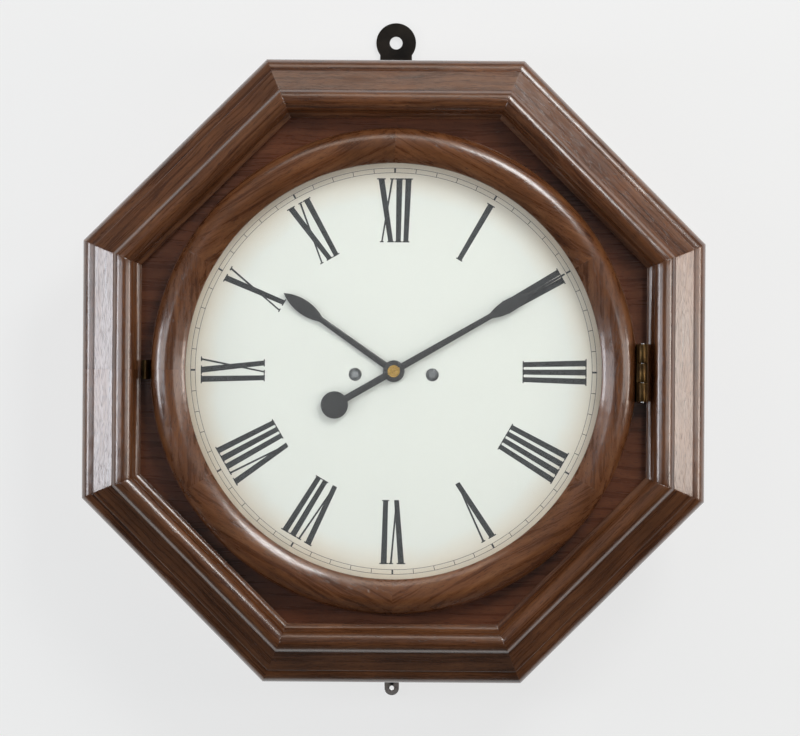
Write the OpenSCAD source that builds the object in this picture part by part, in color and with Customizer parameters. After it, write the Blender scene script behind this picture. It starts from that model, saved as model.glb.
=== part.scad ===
// Octagonal wall clock: a mitred, moulded front frame on a shallow box, a turned bezel door,
// a painted dial, and an eight-day time-and-strike movement with a balance.
// Every module is drawn as seen from the front, with x to the right, y up and z out from the
// wall. from_wall() then stands it upright: z is up and the dial faces -y. The origin is where
// the dial's axis meets the wall.

/* [Case box] */
// Overhang of the front frame past the box behind it
frame_overhang = 28.5; // [25:0.5:32]
// Depth of the box, from the wall to the back of the dial board
box_depth = 74; // [70:1:90]
// Thickness of the eight side boards
side_t = 12; // [8:0.5:14]
// Thickness of the back board
back_t = 9; // [7:0.5:11]
// Thickness of the dial board
dial_board_t = 10; // [8:0.5:14]
// Width of the dial board's seat behind the rim of the dial
dial_seat_w = 15; // [10:0.5:20]
// Depth of the glue blocks in the corners, along the corner's own radius
glue_block_h = 12; // [8:1:16]
// Gap left around the back board and in the frame's rebate
wood_gap = 0.2; // [0.1:0.05:0.5]

/* [Front moulding] */
// Width of the moulding, from its inner wall to the outer edge of the clock
rail_w = 43.5; // [41:0.5:50]
// Flat band of dial board seen between the bezel ring and the frame
groove_w = 7; // [6.5:0.1:9]
// Height of the frame's straight inner wall above the dial board
inner_wall_h = 9; // [7:0.5:12]
// Radius of the cove above the inner wall
cove_r = 5; // [3:0.5:6]
// Width of the rounded bead at the crest
bead_w = 15; // [12:0.5:17]
// Rise of the bead above its own two edges
bead_rise = 6; // [4:0.5:7]
// Height of the crest above the dial board
crest_h = 24; // [23:0.5:28]
// Drop of the bevel from the bead to the outer edge moulding
bevel_drop = 8.5; // [5:0.5:11]
// Radius of the quarter round along the outer edge
edge_r = 9; // [7:0.5:11]
// Depth of the small steps on both sides of the bevel
quirk = 1.4; // [0.8:0.1:2]
// Lowest face of the frame, below the back of the dial board
skirt_drop = 4; // [2:0.5:8]

/* [Bezel door] */
// Sight radius of the bezel ring, the part of the dial that is seen
sight_r = 152; // [148:0.5:154]
// Width of the ring, from its sight edge to its outer edge
ring_w = 26; // [25:0.5:28]
// Height of the ring's crest above the dial board
ring_h = 21; // [20:0.5:22]
// Radius of the round on the outer side of the ring
ring_round_r = 12; // [9:0.5:13]
// Drop from the ring's crest to its sight edge
ring_dish = 5.5; // [4:0.5:6.5]
// Thickness of the lip that holds the glass
lip_t = 3.2; // [2.5:0.1:4]
// Lap of the glass behind the lip
glass_lap = 6; // [5:0.5:7]
// Thickness of the glass
glass_t = 2.2; // [1.8:0.1:2.6]
// Side of the quarter-round bead that holds the glass in
glass_bead_t = 3.6; // [3:0.1:4.2]
// Gap between the closed ring and the dial board
door_gap = 0.4; // [0.3:0.05:0.8]
// Length of the hinge
hinge_l = 42; // [30:1:50]
// Outer radius of the hinge knuckles
knuckle_r = 3; // [2.8:0.05:3.2]
// Thickness of the hinge leaves
leaf_t = 1.5; // [1.2:0.1:1.7]
// Radius of the hinge pin
hinge_pin_r = 1.3; // [1:0.1:1.6]
// Play between the pin and the door's knuckle
pin_play = 0.05; // [0.02:0.01:0.1]
// Gap between neighbouring knuckles
knuckle_gap = 0.4; // [0.3:0.05:0.6]
// Width of the spring catch opposite the hinge
catch_w = 14; // [10:1:20]
// Thickness of the catch's brass strip
catch_t = 0.9; // [0.7:0.1:1.2]
// Gap between the closed ring and the catch
catch_gap = 0.9; // [0.8:0.05:1.2]

/* [Hanging] */
// Thickness of the hanger plate and of the steady plate
hanger_t = 3; // [2:0.25:4]
// Radius of the hanger's round eye
eye_r = 15; // [13:0.5:18]
// Radius of the hole that hangs on the wall hook
eye_hole_r = 4.8; // [4:0.2:6]
// Height of that hole above the frame's top edge
eye_rise = 19; // [16:0.5:26]
// Width of the hanger's strap
strap_w = 24; // [18:1:28]
// Length of the strap that is let into the back board
strap_l = 52; // [44:1:60]
// Length of the steady plate's strap that is let into the back board
steady_strap_l = 36; // [30:1:50]
// Width of the steady plate at the bottom
steady_w = 11; // [9:0.5:14]
// Distance that the steady plate shows below the frame
steady_show = 16; // [12:0.5:20]
// Radius of the hole in the steady plate
steady_hole_r = 1.7; // [1.4:0.1:2.2]
// Shank radius of the wood screws
screw_r = 1.8; // [1.4:0.1:2.2]
// Head radius of the wood screws
screw_head_r = 3.4; // [3:0.1:4]

/* [Dial and hands] */
// Thickness of the painted zinc dial
dial_t = 0.8; // [0.6:0.1:1.2]
// Lap of the dial behind the bezel's sight edge
dial_lap = 5; // [3:0.25:5.5]
// Radius of the dial's centre hole
dial_bore_r = 4.6; // [4.2:0.1:5.5]
// Radius of the two winding holes
winding_hole_r = 4.8; // [4:0.1:6]
// Head radius of the dial nails
dial_nail_r = 1.2; // [0.9:0.1:1.4]
// Length of the hour hand from its centre to its tip
hour_l = 99; // [85:1:110]
// Length of the spade leaf on the hour hand
hour_leaf_l = 37; // [30:1:46]
// Width of the hour hand's leaf
hour_leaf_w = 10.5; // [8:0.5:16]
// Length of the minute hand from its centre to its tip
minute_l = 144; // [130:1:146]
// Length of the leaf on the minute hand
minute_leaf_l = 38; // [30:1:50]
// Width of the minute hand's leaf
minute_leaf_w = 10; // [7:0.5:12]
// Distance from the centre to the middle of the minute hand's balance disc
tail_l = 50; // [40:1:56]
// Radius of the balance disc
tail_disc_r = 10; // [8:0.5:12]
// Width of the hands' slender stems
stem_w = 5; // [4:0.25:6]
// Radius of the hands' bosses
boss_r = 8; // [6.5:0.25:10]
// Thickness of the hands
hand_t = 1; // [0.7:0.1:1.2]
// Gap between the dial and the hour hand
hour_gap = 1.8; // [1.4:0.1:2.4]
// Gap between the two hands
minute_gap = 1.6; // [1.2:0.1:2]
// Clockwise angle of the hour hand from twelve
hour_angle = 305; // [0:1:359]
// Clockwise angle of the minute hand from twelve
minute_angle = 60; // [0:0.5:359]

/* [Movement] */
// Space between the dial board's front and the movement's front plate
motion_space = 13.5; // [13:0.25:16]
// Thickness of the brass plates
plate_t = 2.5; // [2:0.1:3]
// Distance between the plates
plate_gap = 35.5; // [35:0.5:38]
// Half width of the plates at the winding arbors
plate_half_w = 58; // [57:0.5:62]
// Half width of the plates at the top
plate_top_half_w = 45; // [43:0.5:50]
// Height of the plates' top edge above the hands
plate_top = 84; // [82:0.5:90]
// Height of the plates' shoulders, where they start to narrow
plate_shoulder = 24; // [20:1:30]
// Depth of the plates' bottom edge below the hands
plate_bottom = 37; // [36:0.5:42]
// Radius of the pillars between the plates
pillar_r = 3.5; // [3:0.25:4.5]
// Radius of the posts that carry the movement on the back board
post_r = 5; // [4:0.25:6]
// Half the distance between the two winding arbors
winding_x = 28.3; // [28:0.1:29.5]
// Drop of the winding arbors below the hands
winding_drop = 2.5; // [1.5:0.25:4]
// Side of the winding squares
square_w = 4.2; // [3.6:0.1:5]
// Radius of the winding arbors
winding_arbor_r = 3; // [2.6:0.1:3.4]
// Radius of the mainspring's core
core_r = 6; // [5:0.25:6.5]
// Outer radius of the spring barrels
barrel_r = 24.2; // [23.5:0.1:24.6]
// Wall of the spring barrels
barrel_wall = 1.2; // [1:0.1:1.6]
// Thickness of the great wheels and the barrel caps
barrel_disc_t = 2.2; // [1.8:0.1:2.6]
// Thickness of the mainsprings
spring_t = 0.8; // [0.6:0.1:1]
// Turns of the mainsprings
spring_turns = 8; // [6:1:9]
// Radius of the centre arbor
centre_arbor_r = 1.2; // [1.1:0.05:1.4]
// Radius of the slender arbors
arbor_r = 1; // [0.9:0.05:1.05]
// Radius of the pivots in the plates
pivot_r = 0.8; // [0.6:0.05:0.9]
// Play of a pivot in its hole
pivot_play = 0.05; // [0.02:0.01:0.1]
// Thickness of the train wheels
wheel_t = 1.4; // [1:0.1:1.6]
// Radius of the balance wheel
balance_r = 14.5; // [13.5:0.25:14.75]
// Radius of the coiled gong
gong_r = 36; // [30:1:40]
// Turns of the gong
gong_turns = 3.5; // [2.5:0.5:4]
// Thickness of the gong's wire
gong_wire = 2.6; // [2:0.1:3]
// Depth of the gong's centre below the hands
gong_drop = 98; // [94:1:106]

/* [Hidden] */
$fn = 96;
WOOD = "#6b4430";
DARK_WOOD = "#4a2c1e";
BRASS = "#b89a5a";
STEEL = "#8d9094";
IRON = "#2b2826";

// Octagon geometry: half the angle of one side, and the directions of the eight sides
half_side = 22.5;
ring_r = sight_r + ring_w;
wall_r = ring_r + groove_w;
frame_r = wall_r + rail_w;
box_r = frame_r - frame_overhang;

// Depths of the case, out from the wall
board_back = box_depth;
board_front = box_depth + dial_board_t;
dial_face = board_front + dial_t;
crest_z = board_front + crest_h;

// Bezel ring
ring_back = board_front + door_gap;
ring_top = board_front + ring_h;
ring_crest_r = ring_r - ring_round_r;
sight_z = ring_top - ring_dish;
lip_back = sight_z - lip_t;
glass_r = sight_r + glass_lap;
rebate_gap = 0.5;
glass_back = lip_back - glass_t;
dial_r = sight_r + dial_lap;
dial_board_bore_r = dial_r - dial_seat_w;

// Hinge: the pin stands in front of the groove, level with the ring's crest
hinge_shift = 0.2;
leaf_lift = 2.5;
leaf_clear = 0.6;
knuckle_lap = 0.5;
hinge_pin_over = 0.8;
hinge_x = ring_r + groove_w / 2 - hinge_shift;
hinge_z = ring_top;
leaf_low = board_front + leaf_lift;
leaf_high = hinge_z - knuckle_r - leaf_clear;
leaf_seat_x = hinge_x - knuckle_r + knuckle_lap - leaf_t;

// Depths of the movement, from the dial back to the posts
front_face = board_front - motion_space;
front_in = front_face - plate_t;
back_in = front_in - plate_gap;
back_face = back_in - plate_t;

// Heights of the wheels between the plates, above the back plate or below the front plate
barrel_back_gap = 5.5;
barrel_front_gap = 6.5;
third_rise = 1.2;
fourth_rise = 16;
centre_drop = 4.4;
escape_rise = 23;
lever_rise = 1.3;
balance_rise = 28;
barrel_low = back_in + barrel_back_gap;
barrel_high = front_in - barrel_front_gap;
third_z = back_in + third_rise;
fourth_z = back_in + fourth_rise;
centre_z = front_in - centre_drop;
escape_z = back_in + escape_rise;
lever_z = escape_z + lever_rise;
balance_z = back_in + balance_rise;
pinion_over = 0.6;
end_shake = 0.15;

// Teeth of the trains: wheel, and the pinion that it drives
great_n = 96;
centre_pinion_n = 8;
centre_n = 72;
third_pinion_n = 9;
third_n = 60;
fourth_pinion_n = 8;
fourth_n = 64;
escape_pinion_n = 8;
escape_n = 15;
strike_great_n = 90;
pin_pinion_n = 9;
pin_wheel_n = 72;
fly_pinion_n = 8;
cannon_n = 12;
minute_wheel_n = 36;
minute_pinion_n = 10;
hour_wheel_n = 40;
ratchet_n = 20;

// Modules of the trains, from their centre distances
train_module = 0.42;
fine_module = 0.36;
great_module = 2 * norm([winding_x, winding_drop]) / (great_n + centre_pinion_n);
motion_module = 0.5;
motion_drop = motion_module * (cannon_n + minute_wheel_n) / 2;
hour_module = 2 * motion_drop / (minute_pinion_n + hour_wheel_n);

function polar(r, a) = [r * cos(a), r * sin(a)];
function mesh_distance(m, wheel, pinion) = m * (wheel + pinion) / 2;
function direction(a, b) = atan2(b[1] - a[1], b[0] - a[0]);

// Bearings from one arbor to the next, anticlockwise from the right, and the lever's reach
escape_bearing = 35;
lever_bearing = 120;
pin_bearing = 100;
fly_bearing = 60;
lever_reach = 11;

// Places of the arbors, seen from the front
centre_at = [0, 0];
time_at = [winding_x, -winding_drop];
strike_at = [-winding_x, -winding_drop];
third_at = polar(mesh_distance(train_module, centre_n, third_pinion_n), 90);
fourth_at = third_at + polar(mesh_distance(train_module, third_n, fourth_pinion_n), 90);
escape_at = fourth_at + polar(mesh_distance(fine_module, fourth_n, escape_pinion_n), escape_bearing);
lever_at = escape_at + polar(lever_reach, lever_bearing);
balance_at = lever_at + polar(balance_r + 2.5, lever_bearing);
pin_at = strike_at + polar(mesh_distance(great_module, strike_great_n, pin_pinion_n), pin_bearing);
fly_at = pin_at + polar(mesh_distance(fine_module, pin_wheel_n, fly_pinion_n), fly_bearing);
hammer_at = [-52, -24];
minute_wheel_at = [0, -motion_drop];
gong_at = [0, -gong_drop];
pillar_places = [[-40, -31.5], [40, -31.5], [38, 76], [-38, 76]];
post_places = [[-51, 8], [51, 8], [30, 77], [-30, 77]];
train_pivots = [third_at, fourth_at, escape_at, lever_at, balance_at, pin_at, fly_at, hammer_at];
nut_h = 2.2;
nut_r = 4;
tenon_over = 0.6;
post_foot_w = 3;
post_foot_t = 2;
stud_r = 1;
minute_stud_l = 6.5;
click_stud_over = 0.6;
tenon_r = 1.9;
arbor_pipe_play = 0.02;

// Pipes that carry the hands, nested on the centre arbor
cannon_r = 2.2;
hour_pipe_r = 3.2;
hour_z = dial_face + hour_gap;
minute_z = hour_z + hand_t + minute_gap;
washer_t = 0.6;
hand_pin_r = 0.45;
hand_pin_l = 10;
pin_z = minute_z + hand_t + washer_t + hand_pin_r + 0.1;
arbor_tip = pin_z + 1.1;

RAILS = ["rail_right", "rail_upper_right", "rail_top", "rail_upper_left",
    "rail_left", "rail_lower_left", "rail_bottom", "rail_lower_right"];

module from_wall() {
    rotate([90, 0, 0]) children();
}

module at(place, z = 0) {
    translate([place[0], place[1], z]) children();
}

module disc(r, t, bore = 0) {
    difference() {
        cylinder(r = r, h = t);
        if (bore > 0) translate([0, 0, -1]) cylinder(r = bore, h = t + 2);
    }
}

// Points of an arc, from the angle a to the angle b
function arc(centre, r, a, b, steps) =
    [for (i = [0:steps]) centre + polar(r, a + (b - a) * i / steps)];

// Octagon with its flats up, down, left and right
module octagon(apothem) {
    rotate(half_side) circle(r = apothem / cos(half_side), $fn = 8);
}

// Half width of a side board or rail at the distance r from the centre
function mitre(r) = r * tan(half_side);

screw_play = 0.05;

// Countersunk wood screw along z, its head's flat face at the origin
module wood_screw(length, r = screw_r, head_r = screw_head_r) {
    cylinder(r1 = head_r, r2 = r, h = head_r - r);
    cylinder(r = r, h = length);
}

/* Case */

glue_line = 0.1;

module side_board_outline() polygon([
    [box_r - side_t, glue_line / 2 - mitre(box_r - side_t)], [box_r, glue_line / 2 - mitre(box_r)],
    [box_r, mitre(box_r) - glue_line / 2], [box_r - side_t, mitre(box_r - side_t) - glue_line / 2]]);

// Eight boards, mitred where they meet, with a glue line between neighbours
module side_boards() color(WOOD) from_wall() difference() {
    for (i = [0:7]) rotate(i * 45) linear_extrude(box_depth) side_board_outline();
    hanger_strap(wood_gap, hanger_t + wood_gap);
    steady_strap(wood_gap, hanger_t + wood_gap);
}

back_r = box_r - side_t - wood_gap;
block_corner = (box_r - side_t) / cos(half_side);
back_screw_inset = 7.4;
back_screw_at = block_corner - back_screw_inset;
back_screw_grip = 16;
back_screw_l = back_t + back_screw_grip;

module back_screw_places() {
    for (i = [0:7]) rotate(half_side + i * 45) translate([back_screw_at, 0, 0]) children();
}

module back_board() color(DARK_WOOD) from_wall() difference() {
    linear_extrude(back_t) octagon(back_r);
    hanger_strap(wood_gap, hanger_t + wood_gap);
    steady_strap(wood_gap, hanger_t + wood_gap);
    back_screw_places() wood_screw(back_screw_l, screw_r + screw_play, screw_head_r + screw_play);
    plate_screw_places() wood_screw(plate_screw_l + wood_gap, screw_r + screw_play, screw_head_r);
}

module glue_blocks() color(WOOD) from_wall() difference() {
    for (i = [0:7]) rotate(half_side + i * 45) translate([0, 0, back_t])
        linear_extrude(box_depth - back_t)
        polygon([[block_corner, 0], [block_corner - glue_block_h, glue_block_h / tan(half_side)],
            [block_corner - glue_block_h, -glue_block_h / tan(half_side)]]);
    back_screw_places() wood_screw(back_screw_l + wood_gap, screw_r + screw_play);
}

module back_screws() color(STEEL) from_wall() back_screw_places() wood_screw(back_screw_l);

module dial_board() color(DARK_WOOD) from_wall() translate([0, 0, board_back]) difference() {
    linear_extrude(dial_board_t) octagon(box_r);
    translate([0, 0, -1]) cylinder(r = dial_board_bore_r, h = dial_board_t + 2);
}

// Section of the front moulding: distance from the centre, and height out from the wall.
// A straight inner wall, a cove, a rounded crest, a bevel between two quirks and a quarter round.
bead_edge_z = crest_z - bead_rise;
bead_in = wall_r + cove_r;
bead_out = bead_in + bead_w;
bead_curve_r = (bead_w * bead_w / 4 + bead_rise * bead_rise) / (2 * bead_rise);
bead_span = asin(min(1, bead_w / 2 / bead_curve_r));
cove_z = board_front + inner_wall_h;
bevel_z = bead_edge_z - quirk;
edge_in = frame_r - edge_r;
edge_z = bevel_z - bevel_drop - quirk;

function rail_section() = concat(
    [[wall_r, board_front]],
    arc([wall_r, cove_z + cove_r], cove_r, -90, 0, 5),
    arc([bead_in + bead_w / 2, crest_z - bead_curve_r], bead_curve_r, 90 + bead_span, 90 - bead_span, 10),
    [[bead_out, bevel_z], [edge_in, bevel_z - bevel_drop]],
    arc([edge_in, edge_z - edge_r], edge_r, 90, 0, 6),
    [[frame_r, board_back - skirt_drop], [box_r + wood_gap, board_back - skirt_drop],
    [box_r + wood_gap, board_front]]);

// One mitred rail of the frame, on the side whose outward direction is given
module rail(side) color(WOOD) from_wall() rotate(side) intersection() {
    translate([0, mitre(frame_r) + 1, 0]) rotate([90, 0, 0])
        linear_extrude(2 * mitre(frame_r) + 2) polygon(rail_section());
    linear_extrude(crest_z + 1)
        polygon([[0, 0], [frame_r + 1, -mitre(frame_r + 1)], [frame_r + 1, mitre(frame_r + 1)]]);
}

/* Hanging */

eye_y = frame_r + eye_rise;
strap_foot = box_r - strap_l;
steady_y = frame_r + steady_show - steady_w / 2;
steady_foot = box_r - steady_strap_l;
plate_screw_l = back_t - 1;
hanger_screws = [8, 28];
steady_screw = 9;

module hanger_strap(gap, t) translate([-strap_w / 2 - gap, strap_foot - gap, -1])
    cube([strap_w + 2 * gap, box_r - strap_foot + gap + 1, t + 1]);

module steady_strap(gap, t) translate([-steady_w / 2 - gap, -box_r - 1, -1])
    cube([steady_w + 2 * gap, box_r - steady_foot + gap + 1, t + 1]);

module plate_screw_places() {
    for (y = hanger_screws) translate([0, strap_foot + y, 0]) children();
    translate([0, -steady_foot - steady_screw, 0]) children();
}

module hanger_plate() color(IRON) from_wall() difference() {
    union() {
        translate([-strap_w / 2, strap_foot, 0]) cube([strap_w, eye_y - strap_foot, hanger_t]);
        translate([0, eye_y, 0]) cylinder(r = eye_r, h = hanger_t);
    }
    translate([0, eye_y, -1]) cylinder(r = eye_hole_r, h = hanger_t + 2);
    plate_screw_places() wood_screw(hanger_t + 1, screw_r + screw_play, screw_head_r + 0.02);
}

module steady_plate() color(STEEL) from_wall() difference() {
    union() {
        translate([-steady_w / 2, -steady_y, 0]) cube([steady_w, steady_y - steady_foot, hanger_t]);
        translate([0, -steady_y, 0]) cylinder(r = steady_w / 2, h = hanger_t);
    }
    translate([0, -steady_y, -1]) cylinder(r = steady_hole_r, h = hanger_t + 2);
    plate_screw_places() wood_screw(hanger_t + 1, screw_r + screw_play, screw_head_r + 0.02);
}

module plate_screws() color(STEEL) from_wall() plate_screw_places() wood_screw(plate_screw_l);

/* Bezel door */

// Section of the turned ring: a square outer edge, a bold round, a gentle fall to the sight
// edge, and the rebate for the glass behind the lip
dish_w = ring_crest_r - sight_r;
dish_curve_r = (dish_w * dish_w + ring_dish * ring_dish) / (2 * ring_dish);
dish_span = asin(min(1, dish_w / dish_curve_r));

module bezel_ring() color(WOOD) from_wall() difference() {
    rotate_extrude() polygon(concat(
        [[ring_r, ring_back]],
        arc([ring_crest_r, ring_top - ring_round_r], ring_round_r, 0, 90, 8),
        [for (i = [1:6]) let (a = 90 + dish_span * i / 6)
            [ring_crest_r + dish_curve_r * cos(a), ring_top - dish_curve_r + dish_curve_r * sin(a)]],
        [[sight_r, lip_back], [glass_r + rebate_gap, lip_back], [glass_r + rebate_gap, ring_back]]));
    translate([leaf_seat_x, -hinge_l / 2 - knuckle_gap, leaf_low - knuckle_gap])
        cube([ring_w, hinge_l + 2 * knuckle_gap, ring_h]);
}

module glass() color("lightcyan") from_wall() translate([0, 0, glass_back])
    cylinder(r = glass_r, h = glass_t);

module glass_bead() color(DARK_WOOD) from_wall() rotate_extrude()
    polygon(concat([[glass_r + rebate_gap, glass_back], [glass_r + rebate_gap - glass_bead_t, glass_back]],
        arc([glass_r + rebate_gap, glass_back], glass_bead_t, 180, 270, 5)));

knuckle_l = (hinge_l - 2 * knuckle_gap) / 3;

// A knuckle of the hinge, its lower end at the given height
module knuckle(y, bore) translate([hinge_x, y, hinge_z]) rotate([-90, 0, 0]) difference() {
    cylinder(r = knuckle_r, h = knuckle_l);
    translate([0, 0, -1]) cylinder(r = bore, h = knuckle_l + 2);
}

knuckle_starts = [-hinge_l / 2, -knuckle_l / 2, hinge_l / 2 - knuckle_l];

module hinge_pin_bore(r) translate([hinge_x, -hinge_l, hinge_z]) rotate([-90, 0, 0])
    cylinder(r = r, h = 2 * hinge_l);

module hinge_door_leaf() color(BRASS) from_wall() {
    knuckle(knuckle_starts[1], hinge_pin_r + pin_play);
    translate([leaf_seat_x, -hinge_l / 2, leaf_low]) cube([leaf_t, hinge_l, leaf_high - leaf_low]);
    difference() {
        translate([leaf_seat_x, -knuckle_l / 2, leaf_low]) cube([leaf_t, knuckle_l, hinge_z - leaf_low]);
        hinge_pin_bore(hinge_pin_r + pin_play);
    }
}

module hinge_case_leaf() color(BRASS) from_wall() {
    for (i = [0, 2]) knuckle(knuckle_starts[i], hinge_pin_r);
    translate([wall_r - leaf_t, -hinge_l / 2, leaf_low]) cube([leaf_t, hinge_l, leaf_high - leaf_low]);
    for (i = [0, 2]) difference() {
        translate([wall_r - leaf_t, knuckle_starts[i], leaf_low])
            cube([leaf_t, knuckle_l, hinge_z - leaf_low]);
        hinge_pin_bore(hinge_pin_r);
    }
}

module hinge_pin() color(STEEL) from_wall() translate([hinge_x, -hinge_l / 2 - hinge_pin_over, hinge_z])
    rotate([-90, 0, 0]) cylinder(r = hinge_pin_r, h = hinge_l + 2 * hinge_pin_over);

// Spring catch on the left: a foot on the dial board, a blade beside the ring and a bent lead-in
catch_face = ring_r + catch_gap;
catch_foot_gap = 0.3;
catch_bend_z = ring_top - 9;
catch_tip_z = ring_top - 4;
catch_lead = 2.2;
catch_line = [[wall_r - catch_foot_gap, board_front], [catch_face, board_front],
    [catch_face, catch_bend_z], [catch_face + catch_lead, catch_tip_z],
    [catch_face + catch_lead + catch_t, catch_tip_z], [catch_face + catch_t, catch_bend_z],
    [catch_face + catch_t, board_front + catch_t], [wall_r - catch_foot_gap, board_front + catch_t]];

module catch_spring() color(BRASS) from_wall() mirror([1, 0, 0]) translate([0, catch_w / 2, 0])
    rotate([90, 0, 0]) linear_extrude(catch_w) polygon(catch_line);

/* Dial and hands */

dial_nail_at = sight_r + dial_lap / 2;
nail_shank_r = 0.5;
nail_head_t = 0.8;

module dial_nail_places() {
    for (i = [0:5]) rotate(i * 60) translate([dial_nail_at, 0, 0]) children();
}

module dial_plate() color("ivory") from_wall() translate([0, 0, board_front]) difference() {
    disc(dial_r, dial_t, dial_bore_r);
    for (place = [time_at, strike_at]) at(place, -1) cylinder(r = winding_hole_r, h = dial_t + 2);
    dial_nail_places() translate([0, 0, -1]) cylinder(r = nail_shank_r + pivot_play, h = dial_t + 2);
}

module dial_nails() color(BRASS) from_wall() dial_nail_places() {
    translate([0, 0, board_front]) cylinder(r = nail_shank_r, h = dial_t);
    translate([0, 0, dial_face]) cylinder(r = dial_nail_r, h = nail_head_t);
}

stem_taper = 0.5;
stem_into_leaf = 0.2;

// A hand's stem, tapered by stem_taper on each side, which runs a share of the leaf's length into it
module stem(low, leaf_at, leaf_len) {
    end = leaf_at + leaf_len * stem_into_leaf;
    polygon([[-stem_w / 2, low], [stem_w / 2, low], [stem_w / 2 - stem_taper, end],
        [stem_taper - stem_w / 2, end]]);
}

// A pointed leaf from y = low to y = high, where two circles cross
module leaf(low, high, w) {
    half = (high - low) / 2;
    r = (half * half + w * w / 4) / w;
    translate([0, (low + high) / 2]) intersection() {
        translate([r - w / 2, 0]) circle(r = r);
        translate([w / 2 - r, 0]) circle(r = r);
    }
}

module hour_hand() color(IRON) from_wall() translate([0, 0, hour_z]) rotate(-hour_angle) difference() {
    linear_extrude(hand_t) union() {
        circle(r = boss_r);
        stem(0, hour_l - hour_leaf_l, hour_leaf_l);
        leaf(hour_l - hour_leaf_l, hour_l, hour_leaf_w);
    }
    translate([0, 0, -1]) cylinder(r = hour_pipe_r + arbor_pipe_play, h = hand_t + 2);
}

// The minute hand's leaf ends in a slender tip
minute_tip_l = 28;
minute_tip_root = 8;
minute_tip_w = [3, 1.4];
minute_leaf_end = minute_l - minute_tip_l;

module minute_hand() color(IRON) from_wall() translate([0, 0, minute_z]) rotate(-minute_angle) difference() {
    linear_extrude(hand_t) union() {
        circle(r = boss_r - 1);
        stem(-tail_l, minute_leaf_end - minute_leaf_l, minute_leaf_l);
        leaf(minute_leaf_end - minute_leaf_l, minute_leaf_end, minute_leaf_w);
        polygon([[-minute_tip_w[0] / 2, minute_leaf_end - minute_tip_root],
            [minute_tip_w[0] / 2, minute_leaf_end - minute_tip_root],
            [minute_tip_w[1] / 2, minute_l], [-minute_tip_w[1] / 2, minute_l]]);
        translate([0, -tail_l]) circle(r = tail_disc_r);
    }
    translate([0, 0, -1]) cylinder(r = cannon_r + arbor_pipe_play, h = hand_t + 2);
}

washer_r = 4.5;

module hand_washer() color(BRASS) from_wall() translate([0, 0, minute_z + hand_t])
    disc(washer_r, washer_t, centre_arbor_r + arbor_pipe_play);

// Pin across the tip of the centre arbor, in line with the minute hand
module hand_pin_along(r) translate([0, 0, pin_z]) rotate(-minute_angle + 90) rotate([0, 90, 0])
    translate([0, 0, -hand_pin_l / 2]) cylinder(r = r, h = hand_pin_l, $fn = 24);

module hand_pin() color(BRASS) from_wall() hand_pin_along(hand_pin_r);

/* Movement frame */

module plate_outline() polygon([[-plate_half_w, -plate_bottom], [plate_half_w, -plate_bottom],
    [plate_half_w, plate_shoulder], [plate_top_half_w, plate_top], [-plate_top_half_w, plate_top],
    [-plate_half_w, plate_shoulder]]);

module plate(z) translate([0, 0, z]) difference() {
    linear_extrude(plate_t) plate_outline();
    for (place = train_pivots) at(place, -1) cylinder(r = pivot_r + pivot_play, h = plate_t + 2, $fn = 24);
    for (place = pillar_places) at(place, -1) cylinder(r = tenon_r + pivot_play, h = plate_t + 2, $fn = 24);
    for (place = [time_at, strike_at]) at(place, -1)
        cylinder(r = winding_arbor_r + pivot_play, h = plate_t + 2, $fn = 32);
    at(centre_at, -1) cylinder(r = centre_arbor_r + pivot_play, h = plate_t + 2, $fn = 24);
}

module back_plate() color(BRASS) from_wall() plate(back_face);

// The front plate carries riveted studs for the minute wheel and the two clicks
module front_plate() color(BRASS) from_wall() {
    plate(front_in);
    at(minute_wheel_at, front_face) cylinder(r = stud_r, h = minute_stud_l, $fn = 24);
    for (side = [-1, 1]) at(click_at(side), front_face)
        cylinder(r = stud_r, h = ratchet_z + ratchet_t - front_face + click_stud_over, $fn = 24);
}

tenon_end = front_face + nut_h + tenon_over;

module pillars() color(BRASS) from_wall() for (place = pillar_places) at(place) {
    translate([0, 0, back_in]) cylinder(r = pillar_r, h = plate_gap, $fn = 32);
    translate([0, 0, back_face]) cylinder(r = tenon_r, h = tenon_end - back_face, $fn = 24);
}

module pillar_nuts() color(STEEL) from_wall() for (place = pillar_places)
    at(place, front_face) difference() {
        cylinder(r = nut_r, h = nut_h, $fn = 6);
        translate([0, 0, -1]) cylinder(r = tenon_r + arbor_pipe_play, h = nut_h + 2, $fn = 24);
    }

module movement_posts() color(BRASS) from_wall() for (place = post_places) at(place, back_t) {
    cylinder(r = post_r, h = back_face - back_t, $fn = 32);
    cylinder(r = post_r + post_foot_w, h = post_foot_t, $fn = 32);
}

/* Wheels and pinions */

// Heights of the teeth in modules, and widths of rims and spokes
wheel_tip = 0.9;
wheel_root = 1.1;
pinion_tip = 0.7;
pinion_root = 1.3;
rim_w = 1.6;
spoke_w = 1.6;

// Outline of n teeth of module m: each tapers from its root to a narrow tip. One tooth is
// centred on the direction given by turn. The shares are widths as parts of the tooth pitch.
function teeth(n, m, tip, root, root_share, tip_share, turn) =
    [for (i = [0:n - 1], k = [0:3])
        let (low = (k == 0 || k == 3), share = (low ? root_share : tip_share) * 180 / n)
        polar(n * m / 2 + (low ? -root : tip) * m, turn + i * 360 / n + (k < 2 ? -share : share))];

module wheel_blank(n, m, turn) polygon(teeth(n, m, wheel_tip, wheel_root, 0.62, 0.16, turn));

module pinion_blank(n, m, turn) polygon(teeth(n, m, pinion_tip, pinion_root, 0.5, 0.24, turn));

// Flat wheel with a rim, spokes and a hub
module crossed_wheel(n, m, turn, t, hub_r, spokes = 4) linear_extrude(t) difference() {
    wheel_blank(n, m, turn);
    difference() {
        circle(r = n * m / 2 - wheel_root * m - rim_w);
        circle(r = hub_r, $fn = 32);
        for (i = [0:spokes - 1]) rotate(i * 360 / spokes + 15)
            translate([0, -spoke_w / 2]) square([n * m / 2, spoke_w]);
    }
}

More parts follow.
